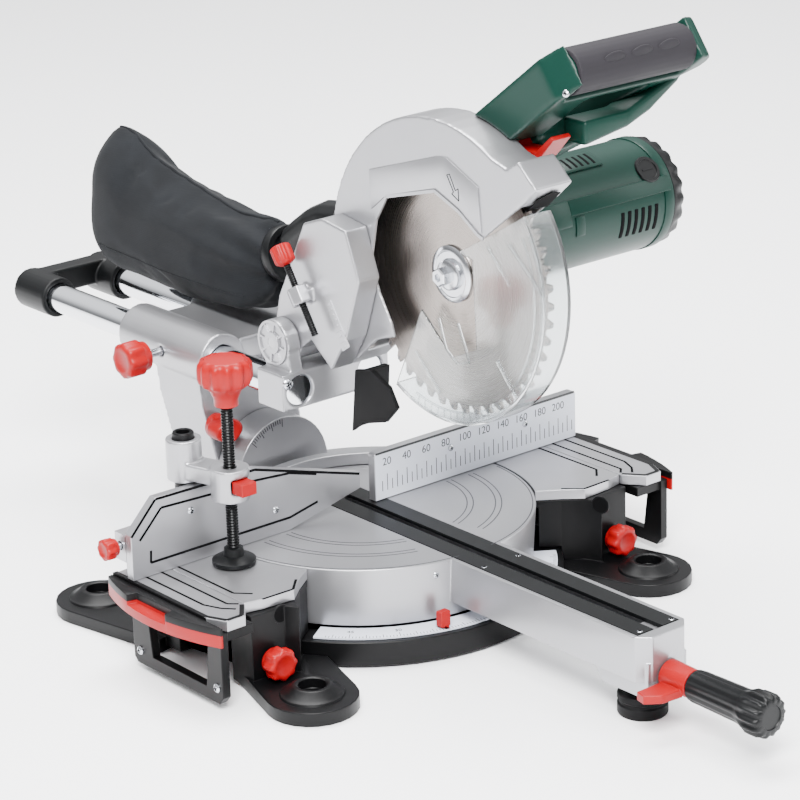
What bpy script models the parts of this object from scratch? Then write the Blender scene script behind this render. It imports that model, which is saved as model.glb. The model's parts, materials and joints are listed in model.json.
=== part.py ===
"""Sliding compound mitre saw on its bench base: frame, mechanism and moving parts.

Metres, +Z up. The model is laid out in the table frame: x = 0 is the plane of the blade
and the kerf, y = 0 the front face of the fence and the turntable's axis, z = 0 the top of
the table. At the end the whole saw is stood on the floor, centred on its own footprint.
"""
import math

import bmesh
import bpy
from mathutils import Matrix, Vector

# ---------------------------------------------------------------- driving sizes
TABLE_HEIGHT = 0.070        # table top above the floor
GAP = 0.0003                # between pieces that touch
RUN = 0.0006                # around pieces that turn or slide

TURNTABLE_RADIUS = 0.131
TURNTABLE_DEPTH = 0.046
RING_RADIUS = 0.152
RING_TOP = -0.049
RING_BOTTOM = -TABLE_HEIGHT + 0.002
ARM_HALF = 0.0243
ARM_FRONT = -0.332
ARM_UNDERSIDE = -0.035
NOSE_UNDERSIDE = -0.048
NOSE_BACK = -0.285
INSERT_HALF = 0.0202
INSERT_THICKNESS = 0.003
KERF_HALF = 0.0042
KERF_POCKET_HALF = 0.014
KERF_POCKET_DEPTH = 0.024

SIDE_SPLIT = 0.186          # where the fixed side table meets its extension
SIDE_BACK = 0.028
SIDE_FRONT = -0.106
EXTENSION_END = 0.221
PLATE_THICKNESS = 0.008
RIM_END = 0.2375

FENCE_THICKNESS = 0.0076
FENCE_LENGTH = 0.2205
LEFT_FENCE_HEIGHT = 0.0595
RIGHT_FENCE_HEIGHT = 0.0397
FENCE_BAR_BACK = 0.024
FENCE_BAR_HEIGHT = 0.010
FENCE_ARC_RADIUS = 0.098

CLAMP_POST = (-0.1575, 0.0172)
CLAMP_POST_RADIUS = 0.0082
CLAMP_SPINDLE = (-0.146, -0.0235)
CLAMP_SPINDLE_RADIUS = 0.0048
CLAMP_ARM_LOW = 0.060
CLAMP_ARM_HIGH = 0.092
CLAMP_KNOB_RADIUS = 0.0213

RAIL_X = (-0.045, 0.024)    # the two slide rails
RAIL_Z = 0.100
RAIL_RADIUS = 0.012
RAIL_FRONT = 0.022
RAIL_REAR = 0.386
HOUSING_RADIUS = 0.022
HOUSING_FRONT = 0.119
HOUSING_REAR = 0.231
TILT_DISC_RADIUS = 0.045
TILT_DISC_FRONT = 0.1340
TILT_NECK_BACK = 0.192
QUADRANT_FRONT = 0.105

PIVOT = (0.042, 0.135)      # (y, z) of the head's hinge
PIVOT_PIN_RADIUS = 0.006
HUB_RADIUS = 0.017
EAR_RADIUS = 0.018
BLADE_CENTRE = (-0.111, 0.212)
BLADE_RADIUS = 0.105
BLADE_THICKNESS = 0.0024
BLADE_TEETH = 48
LOWER_GUARD_CLEAR = 0.0035  # blade tip to the lower guard's inside
LOWER_GUARD_WALL = 0.0025
LOWER_GUARD_HALF = 0.0125
GUARD_CLEAR = 0.0025        # lower guard to the upper guard
UPPER_GUARD_WALL = 0.0055
UPPER_GUARD_LEFT = -0.018
UPPER_GUARD_RIGHT = 0.0167

MOTOR_AXIS = (-0.086, 0.227)
MOTOR_RADIUS = 0.043
MOTOR_WALL = 0.004
MOTOR_START = 0.0625
MOTOR_END = 0.206
MOTOR_CAP_END = 0.222
GEAR_TEETH = 48
PINION_TEETH = 11

GRIP_AXIS = (-0.211, 0.374)  # (y, z) of the transverse grip
GRIP_RADIUS = 0.0165
GRIP_START = 0.008
GRIP_END = 0.147
NECK_SLOPE = math.radians(36.5)
KNOB_SIDES = 16

LOWER_GUARD_RADIUS = BLADE_RADIUS + LOWER_GUARD_CLEAR + LOWER_GUARD_WALL
UPPER_GUARD_INNER = LOWER_GUARD_RADIUS + GUARD_CLEAR
UPPER_GUARD_RADIUS = UPPER_GUARD_INNER + UPPER_GUARD_WALL

# ---------------------------------------------------------------- scene and materials
for old in list(bpy.data.objects):
    bpy.data.objects.remove(old)
SAW = bpy.data.collections.new("mitre_saw")
CUTTERS = bpy.data.collections.new("cutters")
for collection in (SAW, CUTTERS):
    bpy.context.scene.collection.children.link(collection)

FINISHES = {
    "cast": ((0.57, 0.56, 0.60), 0.42, 0.7),
    "plate": ((0.60, 0.60, 0.64), 0.30, 0.9),
    "black": ((0.013, 0.014, 0.016), 0.50, 0.0),
    "red": ((0.72, 0.022, 0.027), 0.38, 0.0),
    "green": ((0.012, 0.102, 0.076), 0.40, 0.0),
    "grip": ((0.094, 0.085, 0.102), 0.75, 0.0),
    "steel": ((0.46, 0.43, 0.42), 0.28, 1.0),
    "chrome": ((0.80, 0.80, 0.82), 0.08, 1.0),
    "clear": ((0.86, 0.88, 0.88), 0.12, 0.0),
    "white": ((0.80, 0.80, 0.82), 0.50, 0.0),
    "cloth": ((0.033, 0.036, 0.042), 0.90, 0.0),
}


def material_for(node, finish):
    """Each node gets its own copy of its finish."""
    colour, roughness, metallic = FINISHES[finish]
    material = bpy.data.materials.new(node + "_" + finish)
    material.use_nodes = True
    shader = material.node_tree.nodes["Principled BSDF"]
    shader.inputs["Base Color"].default_value = (*colour, 1.0)
    shader.inputs["Roughness"].default_value = roughness
    shader.inputs["Metallic"].default_value = metallic
    return material


# ---------------------------------------------------------------- shapes
# A plate's outline is drawn in the plane across the named axis: (y, z), (x, z) or (x, y).
TO_AXIS = {
    "X": Matrix(((0, 0, 1, 0), (1, 0, 0, 0), (0, 1, 0, 0), (0, 0, 0, 1))),
    "Y": Matrix(((1, 0, 0, 0), (0, 0, -1, 0), (0, 1, 0, 0), (0, 0, 0, 1))),
    "Z": Matrix.Identity(4),
}


def as_object(name, mesh_edit):
    mesh = bpy.data.meshes.new(name)
    mesh_edit.to_mesh(mesh)
    mesh_edit.free()
    obj = bpy.data.objects.new(name, mesh)
    SAW.objects.link(obj)
    return obj


def box(name, low, high):
    shape = bmesh.new()
    bmesh.ops.create_cube(shape, size=1.0)
    size = [b - a for a, b in zip(low, high)]
    middle = [(a + b) / 2 for a, b in zip(low, high)]
    bmesh.ops.scale(shape, vec=size, verts=shape.verts)
    bmesh.ops.translate(shape, vec=middle, verts=shape.verts)
    return as_object(name, shape)


def rod(name, start, end, radius, sides=32, end_radius=None):
    """A round bar or cone from one point to another."""
    start, end = Vector(start), Vector(end)
    along = end - start
    shape = bmesh.new()
    bmesh.ops.create_cone(
        shape, cap_ends=True, segments=sides, radius1=radius,
        radius2=radius if end_radius is None else end_radius, depth=along.length)
    half_side = Matrix.Rotation(math.pi / sides, 3, "Z")
    turn = Vector((0, 0, 1)).rotation_difference(along).to_matrix() @ half_side
    bmesh.ops.rotate(shape, cent=(0, 0, 0), matrix=turn, verts=shape.verts)
    bmesh.ops.translate(shape, vec=(start + end) / 2, verts=shape.verts)
    return as_object(name, shape)


def arc(centre, radius, start_deg, end_deg, count):
    """Points of an arc, ends included."""
    step = (end_deg - start_deg) / (count - 1)
    angles = [math.radians(start_deg + i * step) for i in range(count)]
    return [(centre[0] + radius * math.cos(a), centre[1] + radius * math.sin(a)) for a in angles]


def plate(name, outline, low, high, axis="Z", holes=()):
    """A flat outline, with round or shaped holes, given its thickness along an axis."""
    curve = bpy.data.curves.new(name, "CURVE")
    curve.dimensions = "2D"
    curve.fill_mode = "BOTH"
    curve.extrude = (high - low) / 2
    for loop in (outline, *holes):
        spline = curve.splines.new("POLY")
        spline.points.add(len(loop) - 1)
        for point, (u, v) in zip(spline.points, loop):
            point.co = (u, v, 0, 1)
        spline.use_cyclic_u = True
    drawn = bpy.data.objects.new(name + "_outline", curve)
    SAW.objects.link(drawn)
    graph = bpy.context.evaluated_depsgraph_get()
    mesh = bpy.data.meshes.new_from_object(drawn.evaluated_get(graph))
    bpy.data.objects.remove(drawn)
    shape = bmesh.new()
    shape.from_mesh(mesh)
    bmesh.ops.remove_doubles(shape, verts=shape.verts, dist=0.00001)
    sign = -1 if axis == "Y" else 1
    bmesh.ops.translate(shape, vec=(0, 0, sign * (low + high) / 2), verts=shape.verts)
    bmesh.ops.transform(shape, matrix=TO_AXIS[axis], verts=shape.verts)
    bmesh.ops.recalc_face_normals(shape, faces=shape.faces)
    return as_object(name, shape)


def turned(name, profile, centre, steps=48, axis="Z"):
    """A closed (radius, height) profile turned around an axis through centre."""
    shape = bmesh.new()
    corners = [shape.verts.new((r, 0, h)) for r, h in profile]
    for a, b in zip(corners, corners[1:] + corners[:1]):
        if a.co.x > 0 or b.co.x > 0:
            shape.edges.new((a, b))
    obj = as_object(name, shape)
    screw = obj.modifiers.new("turn", "SCREW")
    screw.steps = screw.render_steps = steps
    screw.use_merge_vertices = True
    screw.merge_threshold = 0.00001
    solid = applied(obj)
    place = Matrix.Translation(centre) @ TO_AXIS[axis]
    solid.data.transform(place)
    return solid


def applied(obj):
    """The object with its modifiers worked into its mesh."""
    graph = bpy.context.evaluated_depsgraph_get()
    mesh = bpy.data.meshes.new_from_object(obj.evaluated_get(graph))
    obj.modifiers.clear()
    obj.data = mesh
    fix = bmesh.new()
    fix.from_mesh(mesh)
    bmesh.ops.recalc_face_normals(fix, faces=fix.faces)
    fix.to_mesh(mesh)
    fix.free()
    return obj


def combine(target, tool, operation):
    modifier = target.modifiers.new(operation.lower(), "BOOLEAN")
    modifier.operation = operation
    modifier.object = tool
    SAW.objects.unlink(tool)
    CUTTERS.objects.link(tool)
    tool.hide_render = True
    tool.display_type = "WIRE"
    return target


def cut(target, *tools):
    for tool in tools:
        combine(target, tool, "DIFFERENCE")
    return target


def join(target, *extras):
    for extra in extras:
        combine(target, extra, "UNION")
    return target


def soften(obj, width, segments=1):
    bevel = obj.modifiers.new("soften", "BEVEL")
    bevel.width = width
    bevel.segments = segments
    bevel.limit_method = "ANGLE"
    return obj


# ---------------------------------------------------------------- bodies
# Each body hangs on an empty that stands on its joint's axis.
BODIES = {}


def body(name, place, parent=None):
    empty = bpy.data.objects.new(name + "_axis", None)
    empty.location = place if parent is None else Vector(place) - BODIES[parent][1]
    SAW.objects.link(empty)
    if parent is not None:
        empty.parent = BODIES[parent][0]
    BODIES[name] = (empty, Vector(place))


def add(body_name, obj, finish):
    """Finish a node and hang it on its body."""
    obj.data.materials.clear()
    obj.data.materials.append(material_for(obj.name, finish))
    empty, place = BODIES[body_name]
    obj.data.transform(Matrix.Translation(-place))
    obj.parent = empty
    shift_tools(obj, -place, empty)
    obj.data.shade_smooth()
    obj.data.set_sharp_from_angle(angle=math.radians(35))
    return obj


def shift_tools(obj, offset, empty):
    """A node's cutters move and ride with it."""
    for modifier in obj.modifiers:
        if modifier.type == "BOOLEAN":
            tool = modifier.object
            tool.data.transform(Matrix.Translation(offset))
            tool.parent = empty
            shift_tools(tool, offset, empty)


body("base", (0, 0, 0))


# ---------------------------------------------------------------- base
def base_ring():
    """The cast ring under the turntable, with a floor and the boss for its pivot bolt."""
    floor_top = RING_BOTTOM + 0.006
    wall = 0.022
    profile = [
        (0.0092, RING_BOTTOM), (RING_RADIUS, RING_BOTTOM), (RING_RADIUS, RING_TOP),
        (RING_RADIUS - wall, RING_TOP), (RING_RADIUS - wall, floor_top),
        (0.022, floor_top), (0.022, RING_TOP), (0.0092, RING_TOP)]
    return turned("base_ring", profile, (0, 0, 0), steps=72)


def mirrored(points, side):
    return [(side * x, y) for x, y in points]


def side_edge():
    """Inner front edge of a side table, swept clear of the arm at full mitre."""
    return [(0.112, -0.068), (0.130, -0.081), (0.144, -0.093)]


def turntable_clearance(name, low, high):
    return rod(name, (0, 0, low), (0, 0, high), TURNTABLE_RADIUS + 0.0016, sides=72)


def clamp_socket(name, low, high):
    """Hole that the clamp's post drops into."""
    x, y = CLAMP_POST
    return rod(name, (x, y, low), (x, y, high), CLAMP_POST_RADIUS + RUN, sides=24)


def foot(name, centre, heading, reach=0.07):
    """Bolt-down foot: a rounded lug with a counterbored bolt hole."""
    x, y = centre
    out = Vector(heading).normalized()
    across = Vector((-out.y, out.x))
    width = 0.034
    heading = math.degrees(math.atan2(out.y, out.x))
    nose = arc(centre, width, heading - 90, heading + 90, 13)
    root = [tuple(Vector(centre) - out * reach + across * w) for w in (width, -width)]
    lug = plate(name, nose + root, -TABLE_HEIGHT, -TABLE_HEIGHT + 0.0108)
    bolt = rod(name + "_bolt", (x, y, -TABLE_HEIGHT - 0.01), (x, y, 0), 0.0045, sides=20)
    counterbore = rod(name + "_bore", (x, y, -TABLE_HEIGHT + 0.006), (x, y, 0), 0.010, sides=20)
    return cut(lug, bolt, counterbore)


BAR_Y = (-0.060, -0.014)    # guide bars of the extensions
BAR_Z = -0.0238
BAR_RADIUS = 0.005


def side_support(side, name):
    """Open black bay that carries a side table: front block, rear block and a top web."""
    top = -PLATE_THICKNESS - GAP
    outline = [(0.090, SIDE_BACK), (0.090, -0.060), *side_edge(), (0.150, SIDE_FRONT), (0.156, -0.0955),
               (SIDE_SPLIT - GAP, -0.0955), (SIDE_SPLIT - GAP, SIDE_BACK)]
    support = plate(name, mirrored(outline, side), RING_BOTTOM + 0.002, top)
    near, guide, far = sorted((side * 0.100, side * 0.176)), 0.033, side * (SIDE_SPLIT + 0.01)
    bay = box(name + "_bay", (near[0], -0.070, RING_BOTTOM - 0.01), (near[1], -0.004, top - 0.006))
    outer = sorted((side * 0.175, far))
    door = box(name + "_door", (outer[0], -0.0695, RING_BOTTOM - 0.01), (outer[1], -0.0045, -guide))
    bars = [rod(name + "_guide%d" % i, (side * 0.165, y, BAR_Z), (far, y, BAR_Z), BAR_RADIUS + RUN, 16)
            for i, y in enumerate(BAR_Y)]
    ring = rod(name + "_ring", (0, 0, -TABLE_HEIGHT - 0.01), (0, 0, RING_TOP + 0.001),
               RING_RADIUS + GAP, sides=72)
    wall = turntable_clearance(name + "_wall", RING_TOP, 0.01)
    screw = rod(name + "_screw", (side * 0.170, -0.150, -0.046), (side * 0.170, -0.060, -0.046),
                0.0052, sides=16)
    cut(support, bay, door, *bars)
    join(support, foot(name + "_front_foot", (side * 0.167, -0.140), (side * 0.3, -1)),
         foot(name + "_rear_foot", (side * 0.178, 0.112), (side * 0.2, 1), 0.095))
    cut(support, ring, wall, screw)
    if side < 0:
        cut(support, clamp_socket(name + "_socket", -0.0482, 0.01))
    return support


def side_table(side, name):
    """Machined aluminium side table, level with the turntable."""
    outline = [(0.090, SIDE_BACK), (0.090, -0.060), *side_edge(), (0.171, -0.091),
               (SIDE_SPLIT - GAP, -0.088), (SIDE_SPLIT - GAP, SIDE_BACK)]
    table = plate(name, mirrored(outline, side), -PLATE_THICKNESS, 0)
    cut(table, turntable_clearance(name + "_round", -0.02, 0.02))
    if side < 0:
        cut(table, clamp_socket(name + "_socket", -0.02, 0.01))
    return table


def degree_scale():
    """Printed steel strip round the front of the ring."""
    inner, outer = TURNTABLE_RADIUS - 0.003, RING_RADIUS - 0.005
    strip = arc((0, 0), outer, 214.5, 325.5, 45) + arc((0, 0), inner, 325.5, 214.5, 45)
    return plate("degree_scale", strip, RING_TOP + GAP, RING_TOP + 0.0015)


def fence_bridge():
    """Cast bar behind both fences, bowed round the back of the turntable."""
    front = FENCE_THICKNESS + RUN
    inner = FENCE_ARC_RADIUS - 0.010
    start = math.degrees(math.asin(front / inner))
    turn_in = arc((0, 0), inner, start, 180 - start, 33)
    back = math.degrees(math.asin(FENCE_BAR_BACK / FENCE_ARC_RADIUS))
    turn_out = arc((0, 0), FENCE_ARC_RADIUS, 180 - back, back, 33)
    end = FENCE_LENGTH - 0.010
    split = SIDE_SPLIT - 0.002
    outline = [(split, front), *turn_in, (-split, front), (-split, FENCE_BAR_BACK), *turn_out,
               (split, FENCE_BAR_BACK)]
    bridge = plate("fence_bridge", outline, GAP, FENCE_BAR_HEIGHT)
    return cut(bridge, clamp_socket("fence_bridge_socket", -0.02, 0.05))


def right_fence():
    """Fixed low fence, which carries the ruler."""
    start, corner = 0.0085, 0.003
    outline = [(start, GAP), (FENCE_LENGTH, GAP),
               *arc((FENCE_LENGTH - corner, RIGHT_FENCE_HEIGHT - corner), corner, 0, 90, 4),
               *arc((start + corner, RIGHT_FENCE_HEIGHT - corner), corner, 90, 180, 4)]
    holes = [arc((x, 0.0275), 0.0027, 0, 330, 12) for x in (0.086, 0.165)]
    return plate("right_fence", outline, 0, FENCE_THICKNESS, "Y", holes)


def left_fence():
    """Tall sliding fence: its inner end slopes down so that the tilted head clears it."""
    outline = [(-FENCE_LENGTH, GAP), (-0.075, GAP), (-0.006, 0.016), (-0.0055, 0.0285),
               (-0.106, 0.0584), (-FENCE_LENGTH + 0.0235, LEFT_FENCE_HEIGHT), (-FENCE_LENGTH, 0.0356)]
    holes = [arc((x, z), 0.0027, 0, 330, 12) for x, z in ((-0.166, 0.041), (-0.088, 0.020))]
    return plate("left_fence", outline, 0, FENCE_THICKNESS, "Y", holes)


def build_base():
    add("base", base_ring(), "black")
    add("base", degree_scale(), "white")
    for side, word in ((-1, "left"), (1, "right")):
        add("base", side_support(side, word + "_support"), "black")
        add("base", side_table(side, word + "_table"), "plate")
    add("base", fence_bridge(), "cast")
    add("base", right_fence(), "plate")


# ---------------------------------------------------------------- extensions
def extension_top(side, name):
    outline = [(SIDE_SPLIT + GAP, SIDE_BACK - 0.002), (SIDE_SPLIT + GAP, -0.090),
               (0.198, SIDE_FRONT), (0.214, SIDE_FRONT), (EXTENSION_END, -0.090),
               (EXTENSION_END, SIDE_BACK - 0.004)]
    return plate(name, mirrored(outline, side), -PLATE_THICKNESS, 0)


def extension_frame(side, name):
    """End frame with a window, on two bars that run in under the fixed table."""
    top = -PLATE_THICKNESS - GAP
    low, front, back = -0.064, SIDE_FRONT, 0.004
    window = [(-0.020, -0.054), (-0.086, -0.054), (-0.090, -0.022), (-0.016, -0.022)]
    outline = [(back, low + 0.004), (back, top), (front, top), (front, low + 0.006),
               (front + 0.005, low), (back - 0.004, low)]
    frame = plate(name, outline, EXTENSION_END - 0.007, EXTENSION_END, "X", [window])
    web = box(name + "_web", (SIDE_SPLIT + 0.004, front + 0.002, top - 0.008),
              (EXTENSION_END - 0.003, back, top - 0.0001))
    clear = TURNTABLE_RADIUS + 0.004
    bars = [rod(name + "_bar%d" % i, (math.sqrt(clear ** 2 - y ** 2), y, BAR_Z),
                (EXTENSION_END - 0.004, y, BAR_Z), BAR_RADIUS, sides=16) for i, y in enumerate(BAR_Y)]
    join(frame, web, *bars)
    if side < 0:
        for part in (frame, web, *bars):
            part.data.transform(Matrix.Scale(-1, 4, (1, 0, 0)))
            part.data.flip_normals()
    return frame


def extension_rim(side, name):
    """Bowed red end rail with a finger notch."""
    centre_x, radius = 0.0555, 0.182
    outer = arc((centre_x, -0.039), radius, -23, 21, 15)
    inner = [(EXTENSION_END + GAP, 0.027), (EXTENSION_END + GAP, SIDE_FRONT - 0.004)]
    outline = outer + inner
    rim = plate(name, mirrored(outline, side), -0.017, -0.002)
    notch = plate(name + "_notch", mirrored(
        [(0.228, -0.014), (0.228, -0.058), (0.250, -0.064), (0.250, -0.008)], side), -0.010, 0.004)
    return cut(rim, notch)


def lock_knob(name, centre, axis, radius, length, stem_radius, stem_length):
    """Moulded knob on a screw stem: centre is the middle of its inner face."""
    axis = Vector(axis)
    centre = Vector(centre)
    knob = rod(name, centre, centre + axis * length, radius, KNOB_SIDES, radius * 0.86)
    stem = rod(name + "_stem", centre - axis * stem_length, centre + axis * 0.002, stem_radius, 16)
    return join(knob, stem)


def build_extensions():
    for side, word in ((-1, "left"), (1, "right")):
        name = word + "_extension"
        body(name, (side * SIDE_SPLIT, -0.040, 0), "base")
        add(name, extension_top(side, word + "_extension_top"), "plate")
        add(name, extension_frame(side, word + "_extension_frame"), "black")
        add(name, extension_rim(side, word + "_extension_rim"), "red")
        knob = word + "_extension_knob"
        body(knob, (side * 0.170, SIDE_FRONT + 0.008, -0.046), "base")
        add(knob, lock_knob(knob, (side * 0.170, SIDE_FRONT + 0.008, -0.046), (0, -1, 0),
                            0.0127, 0.015, 0.0045, 0.024), "red")


# ---------------------------------------------------------------- fence and clamp
def build_left_fence():
    body("left_fence", (-0.110, FENCE_THICKNESS, 0.03), "base")
    fence = left_fence()
    bracket = box("left_fence_bracket", (-FENCE_LENGTH + 0.0005, FENCE_THICKNESS - 0.001, 0.012),
                  (-FENCE_LENGTH + 0.016, 0.022, 0.034))
    hole = rod("left_fence_screw", (-FENCE_LENGTH - 0.0195, 0.0155, 0.024),
               (-FENCE_LENGTH + 0.0205, 0.0155, 0.024), 0.0034, 16)
    cut(bracket, hole)
    add("left_fence", join(fence, bracket), "plate")
    body("fence_knob", (-FENCE_LENGTH - 0.0015, 0.0155, 0.024), "left_fence")
    add("fence_knob", lock_knob("fence_knob", (-FENCE_LENGTH - 0.004, 0.0155, 0.024), (-1, 0, 0),
                                0.0085, 0.011, 0.0028, 0.012), "red")


def clamp_arm():
    """Cast arm: slides on the post and carries the clamp's screw."""
    px, py = CLAMP_POST
    sx, sy = CLAMP_SPINDLE
    arm = rod("clamp_arm", (px, py, CLAMP_ARM_LOW), (px, py, CLAMP_ARM_HIGH), 0.0135, 24)
    boss = rod("clamp_arm_boss", (sx, sy, CLAMP_ARM_LOW - 0.008), (sx, sy, CLAMP_ARM_HIGH - 0.015),
               0.0145, 24)
    ahead = Vector((sx - px, sy - py)).normalized() * 0.006
    side = Vector((-ahead.y, ahead.x)) * (0.0105 / 0.006)
    bar = [(px + ahead.x + k * side.x, py + ahead.y + k * side.y) for k in (1, -1)]
    bar += [(sx - ahead.x + k * side.x, sy - ahead.y + k * side.y) for k in (-1, 1)]
    web = plate("clamp_arm_web", bar, CLAMP_ARM_LOW + 0.003, CLAMP_ARM_HIGH - 0.0165)
    join(arm, boss, web)
    post = rod("clamp_arm_post", (px, py, 0), (px, py, 0.12), CLAMP_POST_RADIUS + GAP, 24)
    screw = rod("clamp_arm_screw", (sx, sy, 0), (sx, sy, 0.12), CLAMP_SPINDLE_RADIUS + RUN, 24)
    pocket = box("clamp_arm_pocket", (sx - 0.0075, sy - 0.020, 0.0595), (sx + 0.0075, sy - 0.0048, 0.0705))
    return cut(arm, post, screw, pocket)


def build_clamp():
    px, py = CLAMP_POST
    sx, sy = CLAMP_SPINDLE
    body("clamp", (px, py, 0), "base")
    post = rod("clamp_post", (px, py, -0.0465), (px, py, CLAMP_ARM_HIGH + 0.004), CLAMP_POST_RADIUS, 24)
    bore = rod("clamp_post_bore", (px, py, CLAMP_ARM_HIGH - 0.004), (px, py, 0.12), 0.0058, 24)
    add("clamp", cut(post, bore), "black")
    body("clamp_arm", (px, py, CLAMP_ARM_LOW), "clamp")
    add("clamp_arm", clamp_arm(), "cast")
    body("clamp_release", (sx, sy - 0.0145, 0.065), "clamp_arm")
    add("clamp_release", box("clamp_release", (sx - 0.0068, sy - 0.0235, 0.0602),
                             (sx + 0.0068, sy - 0.0110, 0.0698)), "red")
    body("clamp_screw", (sx, sy, 0.010), "clamp_arm")
    knob_low, knob_high = 0.1385, 0.162
    spindle = rod("clamp_screw", (sx, sy, 0.0072), (sx, sy, knob_high - 0.004), CLAMP_SPINDLE_RADIUS, 20)
    knob = rod("clamp_screw_knob", (sx, sy, knob_low), (sx, sy, knob_high), CLAMP_KNOB_RADIUS,
               KNOB_SIDES, CLAMP_KNOB_RADIUS * 0.84)
    collar = rod("clamp_screw_collar", (sx, sy, knob_low - 0.005), (sx, sy, knob_low + 0.001), 0.0095, 20)
    add("clamp_screw", join(spindle, knob, collar), "red")
    pad = turned("clamp_pad", [(0, 0.0008), (0.0165, 0.0008), (0.0165, 0.0030), (0.0075, 0.0100),
                               (0.0075, 0.0140), (CLAMP_SPINDLE_RADIUS + GAP, 0.0140),
                               (CLAMP_SPINDLE_RADIUS + GAP, 0.0068), (0, 0.0068)], (sx, sy, 0), 24)
    add("clamp_screw", pad, "black")


# ---------------------------------------------------------------- turntable
def turntable():
    """Disc and front arm in one casting, with the fixed bevel quadrant at the back."""
    disc = rod("turntable", (0, 0, -TURNTABLE_DEPTH), (0, 0, 0), TURNTABLE_RADIUS - 0.003, 72,
               TURNTABLE_RADIUS)
    wall, web = 0.007, 0.004
    hollow = turned("turntable_hollow", [
        (0.022, -0.060), (TURNTABLE_RADIUS - 0.003 - wall, -0.060), (TURNTABLE_RADIUS - 0.003 - wall,
                                                                     -0.009),
        (0.022, -0.009)], (0, 0, 0), 72)
    spine = box("turntable_spine", (-KERF_POCKET_HALF - web, -0.20, -0.07),
                (KERF_POCKET_HALF + web, 0.048, 0.01))
    cut(disc, cut(hollow, spine))
    chamfer = 0.009
    arm_outline = [(ARM_HALF, -0.060), (-ARM_HALF, -0.060), (-ARM_HALF, ARM_FRONT + chamfer),
                   (-ARM_HALF + chamfer, ARM_FRONT), (ARM_HALF - chamfer, ARM_FRONT),
                   (ARM_HALF, ARM_FRONT + chamfer)]
    arm = plate("turntable_arm", arm_outline, ARM_UNDERSIDE, 0)
    nose = [(ARM_FRONT + 0.0010, -0.020), (NOSE_BACK + 0.012, -0.020), (NOSE_BACK + 0.012, ARM_UNDERSIDE),
            (NOSE_BACK, NOSE_UNDERSIDE), (ARM_FRONT + 0.0010, NOSE_UNDERSIDE)]
    nose_block = plate("turntable_nose", nose, -ARM_HALF + chamfer * 0.6, ARM_HALF - chamfer * 0.6, "X")
    quadrant = plate("turntable_quadrant", [*arc((0, 0), TILT_DISC_RADIUS, -8, 188, 25),
                                            (-TILT_DISC_RADIUS, -0.032), (TILT_DISC_RADIUS, -0.032)],
                     QUADRANT_FRONT, TILT_DISC_FRONT - RUN, "Y")
    bolt = rod("turntable_bolt", (0, 0, RING_BOTTOM + 0.004), (0, 0, -0.040), 0.0085, 24)
    join(disc, arm, nose_block, quadrant, bolt)
    recess = box("turntable_recess", (-INSERT_HALF - GAP, ARM_FRONT + 0.010, -INSERT_THICKNESS - GAP),
                 (INSERT_HALF + GAP, 0.044, 0.01))
    pocket = box("turntable_pocket", (-KERF_POCKET_HALF, ARM_FRONT + 0.030, -KERF_POCKET_DEPTH),
                 (KERF_POCKET_HALF, 0.036, 0.001))
    shaft = rod("turntable_shaft", (0, ARM_FRONT - 0.01, -0.032), (0, ARM_FRONT + 0.030, -0.032),
                0.0062, 20)
    foot_bore = rod("turntable_foot_bore", (0, -0.306, -0.06), (0, -0.306, -0.0405), 0.0056, 20)
    tilt_bolt = rod("turntable_tilt_bore", (0, 0.100, 0), (0, 0.135, 0), 0.0060, 20)
    return cut(disc, recess, pocket, shaft, foot_bore, tilt_bolt)


def insert(side, name):
    """Black kerf insert beside the blade."""
    low, high = sorted((side * KERF_HALF, side * INSERT_HALF))
    return box(name, (low, ARM_FRONT + 0.0105, -INSERT_THICKNESS), (high, 0.0435, 0))


def mitre_grip():
    """Ribbed handle at the arm's front: a quarter turn locks the mitre angle."""
    y = ARM_FRONT
    profile = [(0, y + 0.026), (0.0055, y + 0.026), (0.0055, y - 0.026), (0.0118, y - 0.027),
               (0.0128, y - 0.074), (0.0165, y - 0.084), (0.0165, y - 0.095), (0.013, y - 0.099),
               (0, y - 0.099)]
    return turned("mitre_grip", [(r, -h) for r, h in profile], (0, 0, -0.032), 20, "Y")


def detent_lever():
    """Red collar and paddle behind the grip: turning it lifts the mitre detent."""
    y = ARM_FRONT
    collar = turned("detent_lever", [(0.0062, -y + 0.0252), (0.0105, -y + 0.0252), (0.0112, -y + RUN),
                                     (0.0062, -y + RUN)], (0, 0, -0.032), 24, "Y")
    paddle = plate("detent_lever_paddle", [(-0.008, y - 0.022), (-0.008, y - 0.003), (-0.034, y - 0.003),
                                           (-0.036, y - 0.012), (-0.026, y - 0.020)], -0.0405, -0.034)
    return join(collar, paddle)


def build_turntable():
    body("turntable", (0, 0, 0), "base")
    add("turntable", turntable(), "cast")
    add("turntable", insert(-1, "left_insert"), "black")
    add("turntable", insert(1, "right_insert"), "black")
    pointer = plate("mitre_pointer", [(-0.044, -0.1345), (-0.036, -0.1365), (-0.0405, -0.1440)],
                    RING_TOP + 0.0028, RING_TOP + 0.0045)
    post = box("mitre_pointer_post", (-0.0445, -0.1395, RING_TOP + 0.0030), (-0.0355, -0.1330, -0.034))
    add("turntable", join(pointer, post), "red")
    body("mitre_grip", (0, ARM_FRONT, -0.032), "turntable")
    add("mitre_grip", mitre_grip(), "black")
    body("detent_lever", (0, ARM_FRONT, -0.032), "turntable")
    add("detent_lever", detent_lever(), "red")
    body("arm_foot", (0, -0.306, -TABLE_HEIGHT), "turntable")
    stud = rod("arm_foot", (0, -0.306, -0.060), (0, -0.306, -0.0415), 0.005, 20)
    pad = rod("arm_foot_pad", (0, -0.306, -TABLE_HEIGHT + 0.0002), (0, -0.306, -0.0535), 0.0185, 28)
    add("arm_foot", join(stud, pad), "black")


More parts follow.
